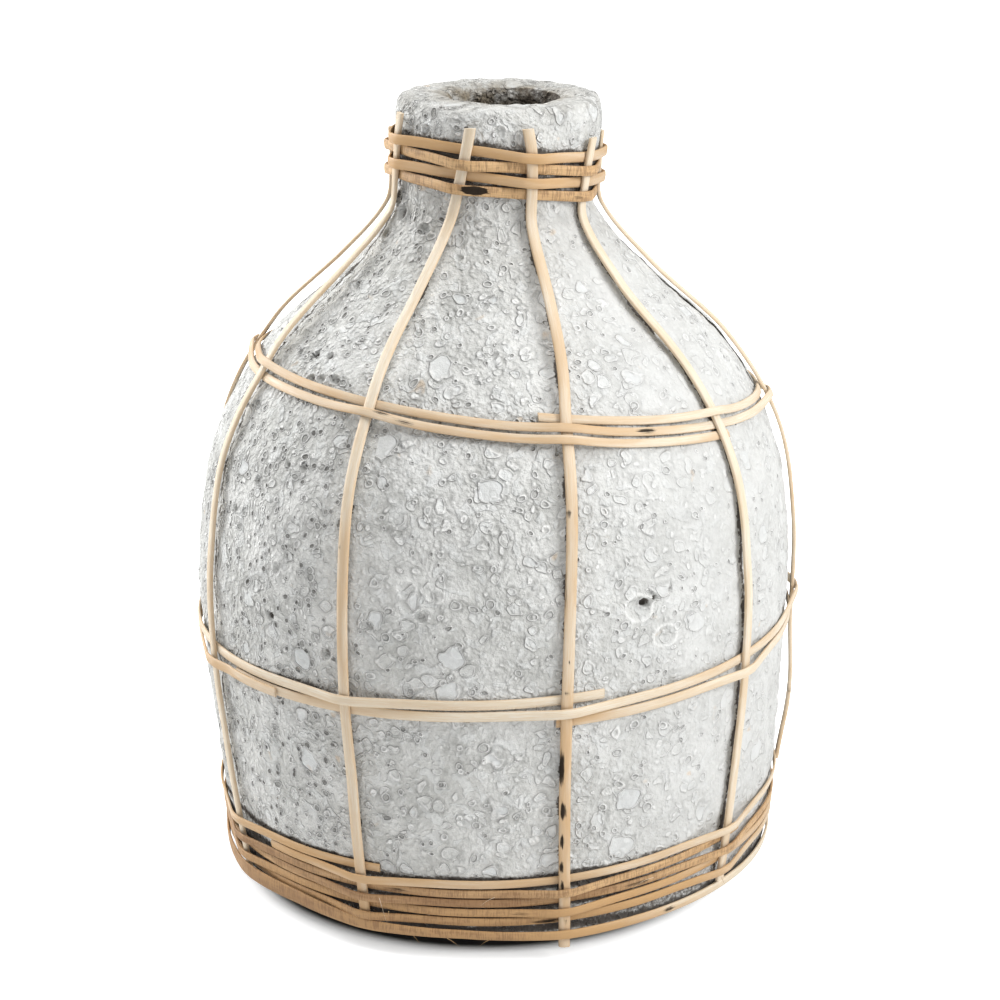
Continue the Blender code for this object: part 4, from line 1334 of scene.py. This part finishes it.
# %% Build every strip
CANE_SHARP_ANGLE = 42
BROWN_STRANDS = ("neck_strand_2", "neck_strand_4", "foot_strand_middle")


def build_cane(name, sections):
    mesh, marks = strip_mesh(name, sections)
    rag_ends(mesh, marks, sections, TONES[name])
    add_whiskers(name, mesh, marks, TONES[name])
    map_strip(mesh, marks)
    bmesh.ops.recalc_face_normals(mesh, faces=mesh.faces)
    material, slot = (cane_brown, "cane_brown") if name in BROWN_STRANDS else (cane_light, "cane_light")
    return finish_piece("cane_" + name, mesh, material, name, CANE_SHARP_ANGLE)


cane_pieces = [build_cane(name, rib_sections(name)) for name in RIBS]
cane_pieces += [build_cane(name, strand_sections(name)) for name in STRANDS]
print("cane triangles:", sum(len(f.vertices) - 2 for piece in cane_pieces for f in piece.data.polygons))

# %% [markdown]
# ## Floor and background
#
# The vase stands on a plain white floor that runs on into a white background. A floor that is only lit
# falls off to grey far away, so away from the vase it turns into plain white for the camera alone. Close
# to the vase it keeps the shadow. Under the foot its colour is painted dark as a contact shadow, in a disc
# shifted a little to the left, so that only a narrow dark sliver of painted shadow shows in front.

# %% The floor
FLOOR_RADIUS = 9.0
SHADOW_DISC_SHIFT = (0.0073, 0.0, 0.0)
floor_mesh = bmesh.new()
bmesh.ops.create_circle(floor_mesh, cap_ends=True, segments=96, radius=FLOOR_RADIUS)
floor_data = bpy.data.meshes.new("floor")
floor_mesh.to_mesh(floor_data)
floor_mesh.free()
add_object("floor", floor_data)
floor_material = bpy.data.materials.new("white_floor")
floor_material.use_nodes = True
tree = floor_material.node_tree
tree.nodes.clear()
spot = add_node(tree, "ShaderNodeTexCoord", {}).outputs["Object"]
under_spot = combine(tree, "ADD", spot, SHADOW_DISC_SHIFT)
reach = add_node(tree, "ShaderNodeVectorMath", {0: under_spot}, operation="LENGTH").outputs["Value"]
seen = add_node(tree, "ShaderNodeLightPath", {}).outputs["Is Camera Ray"]
# Painted shadow: the floor's own colour is dark in a disc under the foot.
PAINTED_FOOT_SHADOW = (0.06, 0.06, 0.06, 1.0)
OPEN_FLOOR = (0.86, 0.86, 0.86, 1.0)
shadowed_floor_colour = blend(tree, step(tree, reach, 0.1190, 0.1235), PAINTED_FOOT_SHADOW, OPEN_FLOOR)
surface = add_node(tree, "ShaderNodeBsdfDiffuse", {"Color": shadowed_floor_colour}).outputs["BSDF"]
near_glow = step(tree, reach, 0.1205, 0.1300, 0.0, 0.45)
glow_strength = calculate(tree, "ADD", step(tree, reach, 0.1280, 0.1600, 0.0, 0.47), near_glow)
glow = add_node(tree, "ShaderNodeEmission", {"Strength": times(tree, glow_strength, seen)})
both = tree.nodes.new("ShaderNodeAddShader")
join(tree, surface, both.inputs[0])
join(tree, glow.outputs["Emission"], both.inputs[1])
output = tree.nodes.new("ShaderNodeOutputMaterial")
join(tree, both.outputs["Shader"], output.inputs["Surface"])
floor_data.materials.append(floor_material)
print("floor radius", FLOOR_RADIUS, "m")

# %% [markdown]
# ## Light
#
# The vase was lit softly from the right and a little from behind on the left, in white surroundings. A
# large lamp stands for each, and a grey-white world fills the rest. To the camera alone the world is
# plain white.

# %% The world
WORLD_LEVEL = 0.43
world = bpy.data.worlds.new("white_room")
bpy.context.scene.world = world
world.use_nodes = True
tree = world.node_tree
background = tree.nodes["Background"]
seen = add_node(tree, "ShaderNodeLightPath", {}).outputs["Is Camera Ray"]
background.inputs["Color"].default_value = (1.0, 1.0, 1.0, 1.0)
level = linear(tree, seen, 1.0 - WORLD_LEVEL, WORLD_LEVEL)
join(tree, level, background.inputs["Strength"])


# %% The lamps
AIM = Vector((0.0, 0.0, 0.19))


def add_lamp(name, azimuth, elevation, distance, size, watts):
    """A square lamp that looks at the vase. Azimuth 0 is in front of it."""
    data = bpy.data.lights.new(name, "AREA")
    data.shape = "SQUARE"
    data.size = size
    data.energy = watts
    lamp = add_object(name, data)
    turn, rise = math.radians(azimuth), math.radians(elevation)
    toward = radial(turn) * math.cos(rise) + Vector((0, 0, math.sin(rise)))
    lamp.location = AIM + toward * distance
    lamp.rotation_euler = toward.to_track_quat("Z", "Y").to_euler()


add_lamp("key_lamp", 65.0, 30.0, 1.8, 0.8, 25.0)
add_lamp("left_lamp", -120.0, 20.0, 1.8, 0.8, 33.0)
add_lamp("top_lamp", -20.0, 80.0, 1.8, 1.0, 16.5)

# %% [markdown]
# ## Camera
#
# The vase was photographed from a little above its lip with a long lens, so its sides hardly converge.
# The camera looks straight at the front and tilts down by 18 degrees.

# %% The camera
CAMERA_DISTANCE = 1.3167
CAMERA_HEIGHT = 0.6184
CAMERA_TILT = 0.3193
camera_data = bpy.data.cameras.new("camera")
camera_data.lens = 100.8
camera_data.sensor_width = 36.0
camera = add_object("camera", camera_data)
camera.location = (0.0, -CAMERA_DISTANCE, CAMERA_HEIGHT)
camera.rotation_euler = (math.pi / 2 - CAMERA_TILT, 0.0, 0.0)
bpy.context.scene.camera = camera
bpy.context.scene.view_settings.view_transform = "Standard"
